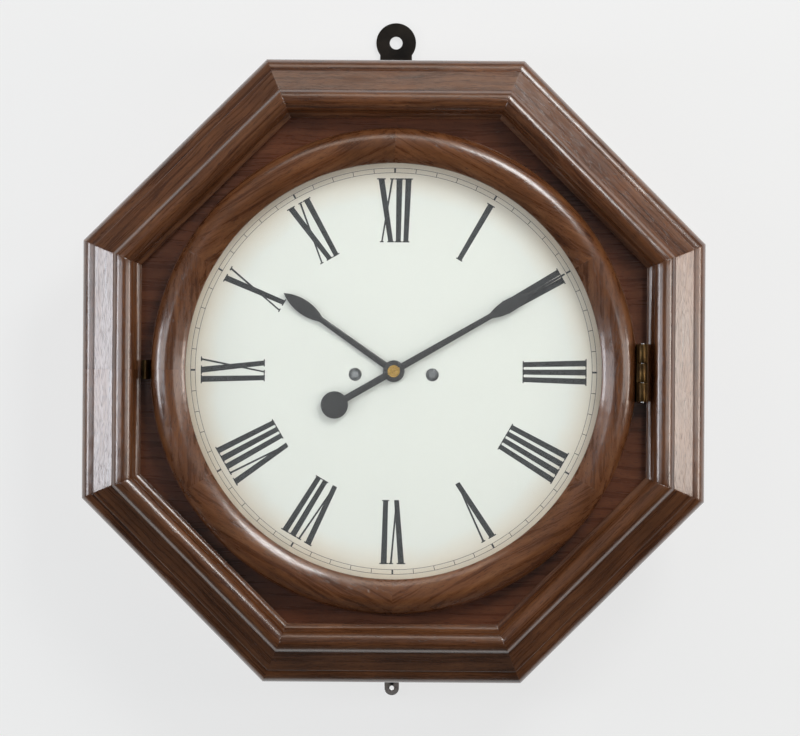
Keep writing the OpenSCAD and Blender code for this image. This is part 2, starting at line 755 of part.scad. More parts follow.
// An arbor with a pivot at each end, from the back plate to the front plate
module arbor() {
    translate([0, 0, back_in + end_shake]) cylinder(r = arbor_r, h = plate_gap - 2 * end_shake, $fn = 24);
    translate([0, 0, back_face]) cylinder(r = pivot_r, h = front_face - back_face, $fn = 24);
}

module pinion(n, m, turn, z, t) translate([0, 0, z]) linear_extrude(t) pinion_blank(n, m, turn);

function gap_turn(n, toward) = toward + 180 / n;

module centre_wheel() color(BRASS) from_wall() {
    translate([0, 0, centre_z])
        crossed_wheel(centre_n, train_module, direction(centre_at, third_at), wheel_t, 3.4);
    pinion(centre_pinion_n, great_module, gap_turn(centre_pinion_n, direction(centre_at, time_at)),
        barrel_high - barrel_disc_t - pinion_over, centre_z - barrel_high + barrel_disc_t + pinion_over);
    difference() {
        translate([0, 0, back_face]) cylinder(r = centre_arbor_r, h = arbor_tip - back_face, $fn = 24);
        hand_pin_along(hand_pin_r + arbor_pipe_play);
    }
}

module third_wheel() color(BRASS) from_wall() at(third_at) {
    arbor();
    translate([0, 0, third_z])
        crossed_wheel(third_n, train_module, direction(third_at, fourth_at), wheel_t, 2.8);
    pinion(third_pinion_n, train_module, gap_turn(third_pinion_n, direction(third_at, centre_at)),
        centre_z - pinion_over, wheel_t + 2 * pinion_over);
}

module fourth_wheel() color(BRASS) from_wall() at(fourth_at) {
    arbor();
    translate([0, 0, fourth_z])
        crossed_wheel(fourth_n, fine_module, direction(fourth_at, escape_at), wheel_t, 2.6);
    pinion(fourth_pinion_n, train_module, gap_turn(fourth_pinion_n, direction(fourth_at, third_at)),
        third_z - pinion_over, wheel_t + 2 * pinion_over);
}

// Escape wheel: teeth with a long slope, a narrow tip and a steep face, at these angles
escape_r = 8;
escape_tooth_h = 2.2;
escape_tooth = [0, 7, 8];
escape_rim_w = 1.2;
escape_t = 1;

module escape_wheel() color(BRASS) from_wall() at(escape_at) {
    arbor();
    pinion(escape_pinion_n, fine_module, gap_turn(escape_pinion_n, direction(escape_at, fourth_at)),
        fourth_z - pinion_over, wheel_t + 2 * pinion_over);
    translate([0, 0, escape_z]) linear_extrude(escape_t) difference() {
        polygon([for (i = [0:escape_n - 1], k = [0:2])
            polar(k == 1 ? escape_r : escape_r - escape_tooth_h, i * 360 / escape_n + escape_tooth[k])]);
        difference() {
            circle(r = escape_r - escape_tooth_h - escape_rim_w, $fn = 48);
            circle(r = 2, $fn = 24);
            for (i = [0:2]) rotate(i * 120) translate([0, -0.5]) square([escape_r - 3, 1]);
        }
    }
}

// Pin pallets over the escape wheel, and a forked arm that ends short of the balance's roller.
// The two pallet arms lean back towards the escape wheel, and their pins reach down to it.
lever_t = 0.8;
fork_end = balance_r - 2;
fork_w = 3.2;
fork_l = 1.4;
fork_slot = 1.2;
fork_slot_l = 1;
pallet_pin = [-3.6, 5.2];
pallet_pin_r = 0.35;
pallet_pin_l = 2;

module lever() color(STEEL) from_wall() at(lever_at) {
    arbor();
    translate([0, 0, lever_z]) rotate(direction(lever_at, balance_at)) {
        linear_extrude(lever_t) difference() {
            union() {
                circle(r = 2, $fn = 24);
                polygon([[0, -1], [fork_end - fork_l, -0.7], [fork_end, -fork_w / 2],
                    [fork_end, fork_w / 2], [fork_end - fork_l, 0.7], [0, 1]]);
                for (side = [-1, 1]) polygon([[1.5, 0], pallet_at(side) + [0.2, side * 0.7],
                    pallet_at(side) + [-0.8, 0], [-1.2, 0]]);
            }
            translate([fork_end - fork_slot_l, -fork_slot / 2]) square([fork_slot_l + 1, fork_slot]);
        }
        for (side = [-1, 1]) at(pallet_at(side), lever_t / 2 - pallet_pin_l)
            cylinder(r = pallet_pin_r, h = pallet_pin_l, $fn = 16);
    }
}

function pallet_at(side) = [pallet_pin[0], side * pallet_pin[1]];

balance_t = 1.8;
balance_rim_w = 2;
balance_spoke_w = 1.4;
roller_r = 1.9;
roller_over = 0.2;

module balance_wheel() color(BRASS) from_wall() at(balance_at) {
    arbor();
    translate([0, 0, balance_z]) linear_extrude(balance_t) difference() {
        circle(r = balance_r);
        difference() {
            circle(r = balance_r - balance_rim_w);
            circle(r = 2.4, $fn = 32);
            for (i = [0:2]) rotate(i * 120 + 30) translate([0, -balance_spoke_w / 2])
                square([balance_r - 1, balance_spoke_w]);
        }
    }
    translate([0, 0, lever_z - roller_over]) cylinder(r = roller_r, h = lever_t + 2 * roller_over, $fn = 32);
}

hairspring_pitch = 0.75;
hairspring_t = 0.25;
hairspring_h = 1;
hairspring_low_r = 2;
hairspring_turns = 7;
hairspring_z = balance_z + 3;
hairspring_stud_r = 0.6;
hairspring_stud_over = 0.4;

// A flat spiral strip of t by h, from low_r outwards
module spiral_strip(low_r, pitch, turns, t, h, steps) {
    count = turns * steps;
    linear_extrude(h) polygon(concat(
        [for (i = [0:count]) polar(low_r + pitch * i / steps + t / 2, 360 * i / steps)],
        [for (i = [count:-1:0]) polar(low_r + pitch * i / steps - t / 2, 360 * i / steps)]));
}

hairspring_end = hairspring_low_r + hairspring_pitch * hairspring_turns;

module hairspring() color(STEEL) from_wall() at(balance_at) {
    translate([0, 0, hairspring_z])
        spiral_strip(hairspring_low_r, hairspring_pitch, hairspring_turns, hairspring_t, hairspring_h, 16);
    translate([hairspring_end + hairspring_stud_r, 0, hairspring_z - hairspring_stud_over])
        cylinder(r = hairspring_stud_r, h = front_in - hairspring_z + hairspring_stud_over, $fn = 16);
}

/* Going and striking barrels */

// Great wheel and drum. The wheel is at the front of the going barrel and at the back of the
// striking one, and the open side of the drum takes the cap.
module barrel(n, turn, wheel_front) {
    wheel_z = wheel_front ? barrel_high - barrel_disc_t : barrel_low;
    drum_h = barrel_high - barrel_low - 2 * barrel_disc_t;
    difference() {
        union() {
            translate([0, 0, wheel_z]) linear_extrude(barrel_disc_t) wheel_blank(n, great_module, turn);
            translate([0, 0, barrel_low + barrel_disc_t]) disc(barrel_r, drum_h, barrel_r - barrel_wall);
        }
        translate([0, 0, barrel_low - 1])
            cylinder(r = winding_arbor_r + pivot_play, h = barrel_high - barrel_low + 2, $fn = 32);
    }
}

module barrel_cap(z) translate([0, 0, z]) disc(barrel_r, barrel_disc_t, winding_arbor_r + pivot_play);

spring_end_gap = 0.5;
spring_low = barrel_low + barrel_disc_t + spring_end_gap;
spring_h = barrel_high - barrel_low - 2 * barrel_disc_t - 2 * spring_end_gap;
spring_in = core_r + spring_t / 2 + 0.5;
spring_out = barrel_r - barrel_wall - spring_t / 2 - 0.2;

module mainspring() translate([0, 0, spring_low])
    spiral_strip(spring_in, (spring_out - spring_in) / spring_turns, spring_turns, spring_t, spring_h, 20);

ratchet_r = 9;
ratchet_tooth_h = 1.5;
ratchet_gap = 0.4;
ratchet_z = front_face + ratchet_gap;
ratchet_t = 2;
square_end = board_front - 2;

// Arbor with the spring's core, a ratchet wheel outside the front plate and the winding square
module winding_arbor() {
    translate([0, 0, back_face])
        cylinder(r = winding_arbor_r, h = ratchet_z + ratchet_t - back_face, $fn = 32);
    translate([0, 0, spring_low]) cylinder(r = core_r, h = spring_h, $fn = 48);
    translate([0, 0, ratchet_z]) linear_extrude(ratchet_t) polygon([for (i = [0:ratchet_n - 1], k = [0, 1])
        polar(k == 0 ? ratchet_r : ratchet_r - ratchet_tooth_h, i * 360 / ratchet_n + k)]);
    translate([-square_w / 2, -square_w / 2, ratchet_z])
        cube([square_w, square_w, square_end - ratchet_z]);
}

// Place of each click's stud from its winding arbor, the click's boss and the tip of its pawl
click_reach = 13.5;
click_bearing = 60;
click_boss_r = 2.4;
click_tip = [[2.1, -8.9], [2.9, -8.6]];

// Pawl on a stud of the front plate, just clear of the ratchet's teeth. side is 1 or -1.
function click_at(side) = [side * (winding_x + click_reach * cos(click_bearing)),
    -winding_drop + click_reach * sin(click_bearing)];

module click(side) at(click_at(side), ratchet_z) mirror([1 - side, 0, 0]) difference() {
    linear_extrude(ratchet_t) polygon(concat(arc([0, 0], click_boss_r, -40, 220, 20), click_tip));
    translate([0, 0, -1]) cylinder(r = stud_r + pivot_play, h = ratchet_t + 2, $fn = 24);
}

module time_barrel() color(BRASS) from_wall() at(time_at)
    barrel(great_n, direction(time_at, centre_at), true);

module time_barrel_cap() color(BRASS) from_wall() at(time_at) barrel_cap(barrel_low);

module time_mainspring() color(STEEL) from_wall() at(time_at) mainspring();

module time_winding_arbor() color(STEEL) from_wall() at(time_at) winding_arbor();

module time_click() color(STEEL) from_wall() click(1);

module strike_barrel() color(BRASS) from_wall() at(strike_at)
    barrel(strike_great_n, direction(strike_at, pin_at), false);

module strike_barrel_cap() color(BRASS) from_wall() at(strike_at) barrel_cap(barrel_high - barrel_disc_t);

module strike_mainspring() color(STEEL) from_wall() at(strike_at) mainspring();

module strike_winding_arbor() color(STEEL) from_wall() at(strike_at) winding_arbor();

module strike_click() color(STEEL) from_wall() click(-1);

/* Motion work */

// Heights in front of the front plate: cannon pinion, minute wheel between them, hour wheel
motion_z = front_face + 1;
cannon_h = 3;
minute_wheel_z = motion_z + 0.6;
minute_pinion_h = 3.4;
minute_pinion_end = minute_wheel_z + wheel_t + minute_pinion_h;
hour_wheel_z = motion_z + 3.4;

module cannon_pinion() color(STEEL) from_wall() difference() {
    union() {
        translate([0, 0, motion_z]) linear_extrude(cannon_h)
            pinion_blank(cannon_n, motion_module, gap_turn(cannon_n, direction(centre_at, minute_wheel_at)));
        translate([0, 0, motion_z + cannon_h])
            cylinder(r = cannon_r, h = minute_z + hand_t - motion_z - cannon_h, $fn = 48);
    }
    translate([0, 0, motion_z - 1])
        cylinder(r = centre_arbor_r + arbor_pipe_play, h = minute_z + hand_t - motion_z + 2, $fn = 24);
}

module minute_wheel() color(BRASS) from_wall() at(minute_wheel_at) difference() {
    union() {
        translate([0, 0, minute_wheel_z])
            crossed_wheel(minute_wheel_n, motion_module, direction(minute_wheel_at, centre_at),
                wheel_t, 2.6, 3);
        pinion(minute_pinion_n, hour_module,
            gap_turn(minute_pinion_n, direction(minute_wheel_at, centre_at)),
            minute_wheel_z + wheel_t, minute_pinion_h);
    }
    translate([0, 0, front_face])
        cylinder(r = stud_r + pivot_play, h = minute_pinion_end + 1 - front_face, $fn = 24);
}

module hour_wheel() color(BRASS) from_wall() difference() {
    union() {
        translate([0, 0, hour_wheel_z])
            crossed_wheel(hour_wheel_n, hour_module, direction(centre_at, minute_wheel_at), wheel_t, 4.6, 3);
        translate([0, 0, hour_wheel_z])
            cylinder(r = hour_pipe_r, h = hour_z + hand_t - hour_wheel_z, $fn = 48);
    }
    translate([0, 0, motion_z])
        cylinder(r = cannon_r + pivot_play, h = hour_z + hand_t - motion_z + 1, $fn = 48);
}

/* Striking work */

pin_wheel_z = front_in - 5.4;
pin_circle_r = 11.6;
lift_pin_n = 8;
lift_pin_r = 0.7;
lift_pin_l = 4.4;
hammer_tail_at = [-48, 22];

module pin_wheel() color(BRASS) from_wall() at(pin_at) {
    arbor();
    translate([0, 0, pin_wheel_z])
        crossed_wheel(pin_wheel_n, fine_module, direction(pin_at, fly_at), wheel_t, 2.8);
    for (i = [0:lift_pin_n - 1]) rotate(i * 360 / lift_pin_n) translate([pin_circle_r, 0, pin_wheel_z])
        cylinder(r = lift_pin_r, h = lift_pin_l, $fn = 16);
    pinion(pin_pinion_n, great_module, gap_turn(pin_pinion_n, direction(pin_at, strike_at)),
        barrel_low - pinion_over, barrel_disc_t + pinion_over - 0.3);
}

fly_r = 11;
fly_t = 0.6;
fly_h = 18;
fly_rise = 4;
fly_turn = 25;

module fly() color(BRASS) from_wall() at(fly_at) {
    arbor();
    pinion(fly_pinion_n, fine_module, gap_turn(fly_pinion_n, direction(fly_at, pin_at)),
        pin_wheel_z - pinion_over, wheel_t + 2 * pinion_over);
    rotate(fly_turn) translate([-fly_r, -fly_t / 2, back_in + fly_rise]) cube([2 * fly_r, fly_t, fly_h]);
}

// The hammer's arbor runs on through the back plate to an arm, whose head stands by the gong
gong_z = back_t + 9;
head_r = 4.5;
head_h = 7.6;
head_gap = 1;
head_bearing = 115;
hammer_head_at = gong_at + polar(gong_r + gong_wire / 2 + head_gap + head_r, head_bearing);
hub_r = 2.6;
hub_h = 3.6;
hub_z = gong_z + 3;
arm_w = 2.2;
arm_t = 1.6;
arm_z = hub_z + 1;
tail_w = 2;
tail_t = 1.2;
tail_z = front_in - 3.8;

// A flat bar from the point a to the point b
module bar(a, b, w, z, t) at(a, z) rotate(direction(a, b)) translate([0, -w / 2, 0])
    cube([norm(b - a), w, t]);

module hammer() color(STEEL) from_wall() {
    at(hammer_at) {
        arbor();
        translate([0, 0, hub_z]) cylinder(r = pivot_r, h = back_face - hub_z, $fn = 24);
        translate([0, 0, hub_z]) cylinder(r = hub_r, h = hub_h, $fn = 24);
    }
    bar(hammer_at, hammer_tail_at, tail_w, tail_z, tail_t);
    bar(hammer_at, hammer_head_at, arm_w, arm_z, arm_t);
    at(hammer_head_at, gong_z - 2) cylinder(r = head_r, h = head_h, $fn = 48);
}

gong_block_r = 6;
block_foot_w = 4;
block_foot_t = 2.5;
block_over = 1.5;
gong_in = gong_block_r + gong_wire / 2 + 0.1;

module gong() color(STEEL) from_wall() at(gong_at, gong_z)
    spiral_strip(gong_in, (gong_r - gong_in) / gong_turns, gong_turns, gong_wire, gong_wire, 24);

module gong_block() color(IRON) from_wall() at(gong_at, back_t) {
    cylinder(r = gong_block_r, h = gong_z + gong_wire + block_over - back_t, $fn = 48);
    cylinder(r = gong_block_r + block_foot_w, h = block_foot_t, $fn = 48);
}

back_board();
side_boards();
glue_blocks();
dial_board();
for (i = [0:7]) rail(i * 45);
back_screws();
hanger_plate();
steady_plate();
plate_screws();
bezel_ring();
glass();
glass_bead();
hinge_case_leaf();
hinge_door_leaf();
hinge_pin();
catch_spring();
dial_plate();
dial_nails();
hour_hand();
minute_hand();
hand_washer();
hand_pin();
movement_posts();
back_plate();
front_plate();
pillars();
pillar_nuts();
time_barrel();
time_barrel_cap();
time_mainspring();
time_winding_arbor();
time_click();
strike_barrel();
strike_barrel_cap();
strike_mainspring();
strike_winding_arbor();
strike_click();
centre_wheel();
cannon_pinion();
minute_wheel();
hour_wheel();
third_wheel();
fourth_wheel();
escape_wheel();
lever();
balance_wheel();
hairspring();
pin_wheel();
fly();
hammer();
gong();
gong_block();
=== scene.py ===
import math

import bpy
import numpy as np
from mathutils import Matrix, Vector


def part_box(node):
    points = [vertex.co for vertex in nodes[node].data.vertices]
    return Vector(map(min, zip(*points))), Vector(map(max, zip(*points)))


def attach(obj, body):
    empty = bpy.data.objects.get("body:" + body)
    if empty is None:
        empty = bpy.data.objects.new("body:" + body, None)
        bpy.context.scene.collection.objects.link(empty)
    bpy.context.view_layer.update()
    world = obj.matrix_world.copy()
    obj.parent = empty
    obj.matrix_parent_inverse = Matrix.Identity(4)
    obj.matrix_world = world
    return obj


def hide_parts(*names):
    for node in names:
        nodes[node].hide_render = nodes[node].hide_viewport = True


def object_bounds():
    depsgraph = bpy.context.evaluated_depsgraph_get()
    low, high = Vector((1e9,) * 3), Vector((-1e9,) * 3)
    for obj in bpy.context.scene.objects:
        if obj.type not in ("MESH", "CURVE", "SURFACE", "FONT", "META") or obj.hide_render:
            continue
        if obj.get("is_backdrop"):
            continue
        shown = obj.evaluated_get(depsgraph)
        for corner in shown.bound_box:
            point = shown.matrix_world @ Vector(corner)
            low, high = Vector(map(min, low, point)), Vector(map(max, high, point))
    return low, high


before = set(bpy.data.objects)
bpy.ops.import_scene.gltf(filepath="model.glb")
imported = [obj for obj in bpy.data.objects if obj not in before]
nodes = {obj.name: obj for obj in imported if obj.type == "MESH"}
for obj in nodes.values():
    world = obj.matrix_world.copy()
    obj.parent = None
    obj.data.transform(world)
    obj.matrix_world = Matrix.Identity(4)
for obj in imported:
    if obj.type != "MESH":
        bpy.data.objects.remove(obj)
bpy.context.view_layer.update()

# Back board and glue blocks
# The back is one plain pine board, stained brown to go with the case, sawn and planed but never
# polished. The glue blocks in the eight corners are the same wood, rubbed in with hot glue.

MM = 0.001


def linear(code):
    """A colour written as sRGB hex, such as #6b4430, in linear light with an alpha of 1: dark
    values divided by 12.92, and the others on the curve with the power of 2.4."""
    part = np.array([int(code[i:i + 2], 16) for i in (1, 3, 5)]) / 255
    return (*np.where(part <= 0.04045, part / 12.92, ((part + 0.055) / 1.055) ** 2.4), 1.0)


def add(tree, kind, inputs=None, stops=None, **settings):
    """Adds a shader node, or takes the one given as kind. settings are its own properties,
    inputs its sockets' values or the sockets that feed them, stops the places and colours of a
    colour ramp."""
    node = tree.nodes.new(kind) if isinstance(kind, str) else kind
    for name, value in settings.items():
        setattr(node, name, value)
    for name, value in (inputs or {}).items():
        if isinstance(value, bpy.types.NodeSocket):
            tree.links.new(value, node.inputs[name])
        else:
            node.inputs[name].default_value = value
    for place, colour in stops or ():
        node.color_ramp.elements.new(place).color = colour
    if stops:
        node.color_ramp.elements.remove(node.color_ramp.elements[0])
        node.color_ramp.elements.remove(node.color_ramp.elements[-1])
    return node


def new_finish(name):
    """A new material, its node tree and its Principled shader."""
    mat = bpy.data.materials.new(name)
    mat.use_nodes = True
    return mat, mat.node_tree, mat.node_tree.nodes["Principled BSDF"]


def put_on(mat, *names):
    """Gives the named CAD nodes this material in place of their own."""
    for name in names:
        nodes[name].data.materials.clear()
        nodes[name].data.materials.append(mat)


def along_x(tree):
    """The piece's own coordinates, with the grain along x."""
    return add(tree, "ShaderNodeTexCoord").outputs["Object"]


def wood(name, coords, dark, mid, light, coat, streak=3.0 * MM, rough=0.28, pore_depth=0.03 * MM):
    """Wood with its grain along x of coords: streaks of three colours, dark pores sunk in the
    surface, slow changes of tone, and a finish whose gloss is the coat weight. streak is a
    streak's width. The other scales are counts a metre: the grain wanders 8 mm in 71, a streak is
    111 mm long, tones change in 45 mm and the finish swells in 29 mm. A pore is 6.3 mm long and
    0.36 mm wide, which is coarser than the real one, so that it shows."""
    mat, tree, shader = new_finish(name)
    place = coords(tree)
    drift = add(tree, "ShaderNodeTexNoise", {"Vector": place, "Scale": 14.0, "Detail": 2.0})
    bend = add(tree, "ShaderNodeVectorMath",
               {0: drift.outputs["Color"], 1: (0.0, 8 * MM, 8 * MM)}, operation="MULTIPLY")
    wander = add(tree, "ShaderNodeVectorMath", {0: place, 1: bend.outputs[0]}, operation="ADD")
    long_way = add(tree, "ShaderNodeMapping",
                   {"Vector": wander.outputs[0], "Scale": (9.0, 1 / streak, 1 / streak)})
    figure = add(tree, "ShaderNodeTexNoise",
                 {"Vector": long_way.outputs[0], "Scale": 1.0, "Detail": 7.0, "Roughness": 0.62})
    tones = add(tree, "ShaderNodeValToRGB", {"Fac": figure.outputs["Fac"]},
                stops=[(0.3, linear(dark)), (0.5, linear(mid)), (0.72, linear(light))])
    cloud = add(tree, "ShaderNodeTexNoise", {"Vector": place, "Scale": 22.0, "Detail": 4.0})
    shade = add(tree, "ShaderNodeMapRange",
                {"Value": cloud.outputs["Fac"], "From Min": 0.3, "From Max": 0.7,
                 "To Min": 0.72, "To Max": 1.2})
    toned = add(tree, "ShaderNodeVectorMath",
                {0: tones.outputs["Color"], "Scale": shade.outputs[0]}, operation="SCALE")
    short_way = add(tree, "ShaderNodeMapping",
                    {"Vector": wander.outputs[0], "Scale": (160.0, 2800.0, 2800.0)})
    dots = add(tree, "ShaderNodeTexNoise",
               {"Vector": short_way.outputs[0], "Scale": 1.0, "Detail": 1.0})
    pores = add(tree, "ShaderNodeMapRange",
                {"Value": dots.outputs["Fac"], "From Min": 0.6, "From Max": 0.68,
                 "To Min": 0.0, "To Max": 1.0})
    colour = add(tree, "ShaderNodeMix", {0: pores.outputs[0], 6: toned.outputs[0], 7: linear(dark)},
                 data_type="RGBA")
    gloss = add(tree, "ShaderNodeMapRange",
                {"Value": figure.outputs["Fac"], "From Min": 0.3, "From Max": 0.7,
                 "To Min": rough - 0.06, "To Max": rough + 0.08})
    grain = add(tree, "ShaderNodeMath", {0: pores.outputs[0], 1: -1.0}, operation="MULTIPLY")
    pitted = add(tree, "ShaderNodeBump", {"Height": grain.outputs[0], "Strength": 0.6,
                                          "Distance": pore_depth})
    wave = add(tree, "ShaderNodeTexNoise", {"Vector": place, "Scale": 34.0, "Detail": 2.0})
    uneven = add(tree, "ShaderNodeBump", {"Height": wave.outputs["Fac"], "Strength": 1.0,
                                          "Distance": 0.5 * MM, "Normal": pitted.outputs[0]})
    add(tree, shader, {"Base Color": colour.outputs[2], "Roughness": gloss.outputs[0],
                       "IOR": 1.6, "Normal": uneven.outputs[0], "Coat Weight": coat,
                       "Coat Roughness": 0.14, "Coat IOR": 1.6})
    tree.links.new(uneven.outputs[0], shader.inputs["Coat Normal"])
    return mat


# Pine under a thin brown stain: broad, soft streaks with hardly any shine
stained_pine = wood("stained pine", along_x, "#5a3d24", "#8a6541", "#a98154", 0.0, 6 * MM, 0.7)
put_on(stained_pine, "back_board", "glue_blocks")

# Side boards
# Eight mitred mahogany boards make the box. They are stained and given a thin polish, duller than
# the front. The grain runs round the box, along each board.


def along_chords(count, apart, start):
    """Gives a function for coordinates with x along the chord of the part that a point lies on,
    where count equal parts stand round the dial's axis. The point is turned by whole parts until
    its own part is the right-hand one. Each is shifted apart from the last, from start on, so
    that its figure is its own."""
    def coords(tree):
        place = add(tree, "ShaderNodeTexCoord").outputs["Object"]
        split = add(tree, "ShaderNodeSeparateXYZ", {0: place})
        angle = add(tree, "ShaderNodeMath", {0: split.outputs["Z"], 1: split.outputs["X"]},
                    operation="ARCTAN2")
        shares = add(tree, "ShaderNodeMath", {0: angle.outputs[0], 1: count / (2 * math.pi)},
                     operation="MULTIPLY")
        part = add(tree, "ShaderNodeMath", {0: shares.outputs[0]}, operation="ROUND")
        turn = add(tree, "ShaderNodeMath", {0: part.outputs[0], 1: 2 * math.pi / count},
                   operation="MULTIPLY")
        turned_back = add(tree, "ShaderNodeVectorRotate",
                          {"Vector": place, "Axis": (0.0, 1.0, 0.0), "Angle": turn.outputs[0]},
                          rotation_type="AXIS_ANGLE")
        axes = add(tree, "ShaderNodeSeparateXYZ", {0: turned_back.outputs[0]})
        shift = add(tree, "ShaderNodeMath", {0: part.outputs[0], 1: apart, 2: start},
                    operation="MULTIPLY_ADD")
        along = add(tree, "ShaderNodeMath", {0: axes.outputs["Z"], 1: shift.outputs[0]},
                    operation="ADD")
        return add(tree, "ShaderNodeCombineXYZ", {"X": along.outputs[0], "Y": axes.outputs["X"],
                                                  "Z": axes.outputs["Y"]}).outputs[0]
    return coords


along_sides = along_chords(8, 0.731, 0.4)

# Mahogany under a thin polish: dark, with a faint sheen over its pores
case_mahogany = wood("stained mahogany", along_sides, "#3a2214", "#5c3a23", "#734d31", 0.25)
put_on(case_mahogany, "side_boards")

# Dial board
# A reddish polished board behind the dial. It shows as a flat band round the bezel ring, and as
# eight small corners inside the frame.

# Mahogany stained red and polished: a broad, calm figure under an even shine
board_mahogany = wood("red mahogany", along_x, "#5c2f19", "#794325", "#8d5534", 0.6, 5 * MM)
put_on(board_mahogany, "dial_board")

# Front moulding
# Eight rails of mahogany, run with a cove, a rounded crest, a bevel and a quarter round, mitred at
# the corners and french polished to a deep gloss.

scene = bpy.context.scene
low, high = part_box("rail_right")
wall_r, frame_r = low.x, high.x
crest_z, skirt_z = -low.y, -high.y
board_front = -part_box("dial_board")[0].y
box_play = 0.2 * MM
box_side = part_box("side_boards")[1].x + box_play
inner_wall = 9 * MM
cove_r = 5 * MM
bead_w, bead_rise = 15 * MM, 6 * MM
quirk = 1.4 * MM
bevel_drop = 8.5 * MM
edge_r = 9 * MM
ease = 0.5 * MM
half_side = math.pi / 8


def arc(centre, radius, start, end, steps):
    """Points of a circle's arc: the centre plus the radius times the cosine and the sine of each
    angle from start to end, in degrees."""
    angle = np.radians(np.linspace(start, end, steps))
    return np.stack([centre[0] + radius * np.cos(angle), centre[1] + radius * np.sin(angle)], 1)


def eased(section, radius):
    """The closed section with each corner that turns by more than 20 degrees cut back by radius,
    or by 0.4 of a short side, and bridged by a parabola B(t) = (1 - t)^2 start + 2t(1 - t) corner
    + t^2 end. A point past each cut keeps the straight stretches flat under smooth shading."""
    most, past = 0.4, 1.15
    before, after = np.roll(section, 1, 0) - section, np.roll(section, -1, 0) - section
    reach_b = np.linalg.norm(before, axis=1, keepdims=True)
    reach_a = np.linalg.norm(after, axis=1, keepdims=True)
    before, after = before / reach_b, after / reach_a
    cut_b = before * np.minimum(radius, most * reach_b)
    cut_a = after * np.minimum(radius, most * reach_a)
    start, end = section + cut_b, section + cut_a
    t = np.array([0.0, 0.25, 0.5, 0.75, 1.0])[None, :, None]
    corner = section[:, None]
    bridge = (1 - t) ** 2 * start[:, None] + 2 * t * (1 - t) * corner + t ** 2 * end[:, None]
    points = np.concatenate([corner + (cut_b * past)[:, None], bridge,
                             corner + (cut_a * past)[:, None]], 1)
    sharp = (before * after).sum(1) > -math.cos(math.radians(20))
    points[:, 3] = np.where(sharp[:, None], points[:, 3], section)
    keep = np.repeat(sharp[:, None], points.shape[1], 1)
    keep[:, 3] = True
    return points[keep]


def put_in(name, points, faces, mat):
    """A new object in the scene, from its points, its faces and one material."""
    mesh = bpy.data.meshes.new(name)
    mesh.from_pydata(points, [], faces)
    mesh.materials.append(mat)
    obj = bpy.data.objects.new(name, mesh)
    scene.collection.objects.link(obj)
    return obj


def surface(name, points, mat, body, ring=False, crease=40.0):
    """A mesh over a grid of points, rows by columns. Each row is closed. A ring's last row meets
    its first, and any other surface has a flat face over each end. The faces are turned outwards
    by the sign of the volume they enclose, and edges sharper than crease degrees stay sharp."""
    rows, columns = points.shape[:2]
    row = np.arange(rows if ring else rows - 1)[:, None]
    column = np.arange(columns)[None]
    next_row, next_column = (row + 1) % rows, (column + 1) % columns
    quads = np.stack([row * columns + column, next_row * columns + column,
                      next_row * columns + next_column, row * columns + next_column], -1)
    quads = quads.reshape(-1, 4)
    flat = points.reshape(-1, 3)
    a, b, c, d = (flat[quads[:, i]] for i in range(4))
    volume = (a * np.cross(b, c)).sum() + (a * np.cross(c, d)).sum()
    faces = quads.tolist()
    if not ring:
        faces += [list(range(columns)), list(range((rows - 1) * columns, rows * columns))[::-1]]
        ends = flat[:columns], flat[(rows - 1) * columns:][::-1]
        volume += sum((e[0] * np.cross(e[1:-1], e[2:])).sum() for e in ends)
    if volume < 0:
        faces = [f[::-1] for f in faces]
    obj = put_in(name, flat, faces, mat)
    obj.data.polygons.foreach_set("use_smooth", np.ones(len(faces), bool))
    obj.data.set_sharp_from_angle(angle=math.radians(crease))
    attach(obj, body)
    return obj


bead_edge = crest_z - bead_rise
bead_in, bead_out = wall_r + cove_r, wall_r + cove_r + bead_w
bead_curve = (bead_w ** 2 / 4 + bead_rise ** 2) / (2 * bead_rise)
bead_span = math.degrees(math.asin(bead_w / 2 / bead_curve))
cove_z = board_front + inner_wall
bevel_z = bead_edge - quirk
edge_in = frame_r - edge_r
edge_z = bevel_z - bevel_drop - quirk
rail_section = eased(np.concatenate([
    [[wall_r, board_front]],
    arc((wall_r, cove_z + cove_r), cove_r, -90, 0, 12),
    arc(((bead_in + bead_out) / 2, crest_z - bead_curve), bead_curve,
        90 + bead_span, 90 - bead_span, 36),
    [[bead_out, bevel_z], [edge_in, bevel_z - bevel_drop]],
    arc((edge_in, edge_z - edge_r), edge_r, 90, 0, 20),
    [[frame_r, skirt_z], [box_side, skirt_z], [box_side, board_front]]]), ease)

mitre_dip, mitre_width, mitre_inward = 0.16 * MM, 0.7 * MM, 0.3


def rail(side):
    """A rail: its section carried along the side, cut at the mitres, where half its length at a
    radius is the radius times the tangent of half the side's angle. The last bit before each
    mitre dips by a square law, as eased edges do, so that the joint shows as a fine line."""
    radius, depth = rail_section.T
    length = radius * math.tan(half_side)
    steps = np.linspace(-1, 1, 41)
    near = 1 - mitre_width * np.array([1, 0.6, 0.3, 0]) / length.mean()
    share = np.unique(np.concatenate([-near, steps[1:-1], near]))[:, None]
    to_end = (1 - np.abs(share)) * length
    dip = mitre_dip * np.clip(1 - to_end / mitre_width, 0, 1) ** 2
    inward = np.clip((depth - board_front) / (crest_z - board_front), 0, 1)
    along = share * length
    out, front = radius - dip * mitre_inward, depth - dip * inward
    turn = side * math.pi / 4
    return np.stack([out * math.cos(turn) - along * math.sin(turn), -front,
                     out * math.sin(turn) + along * math.cos(turn)], -1)


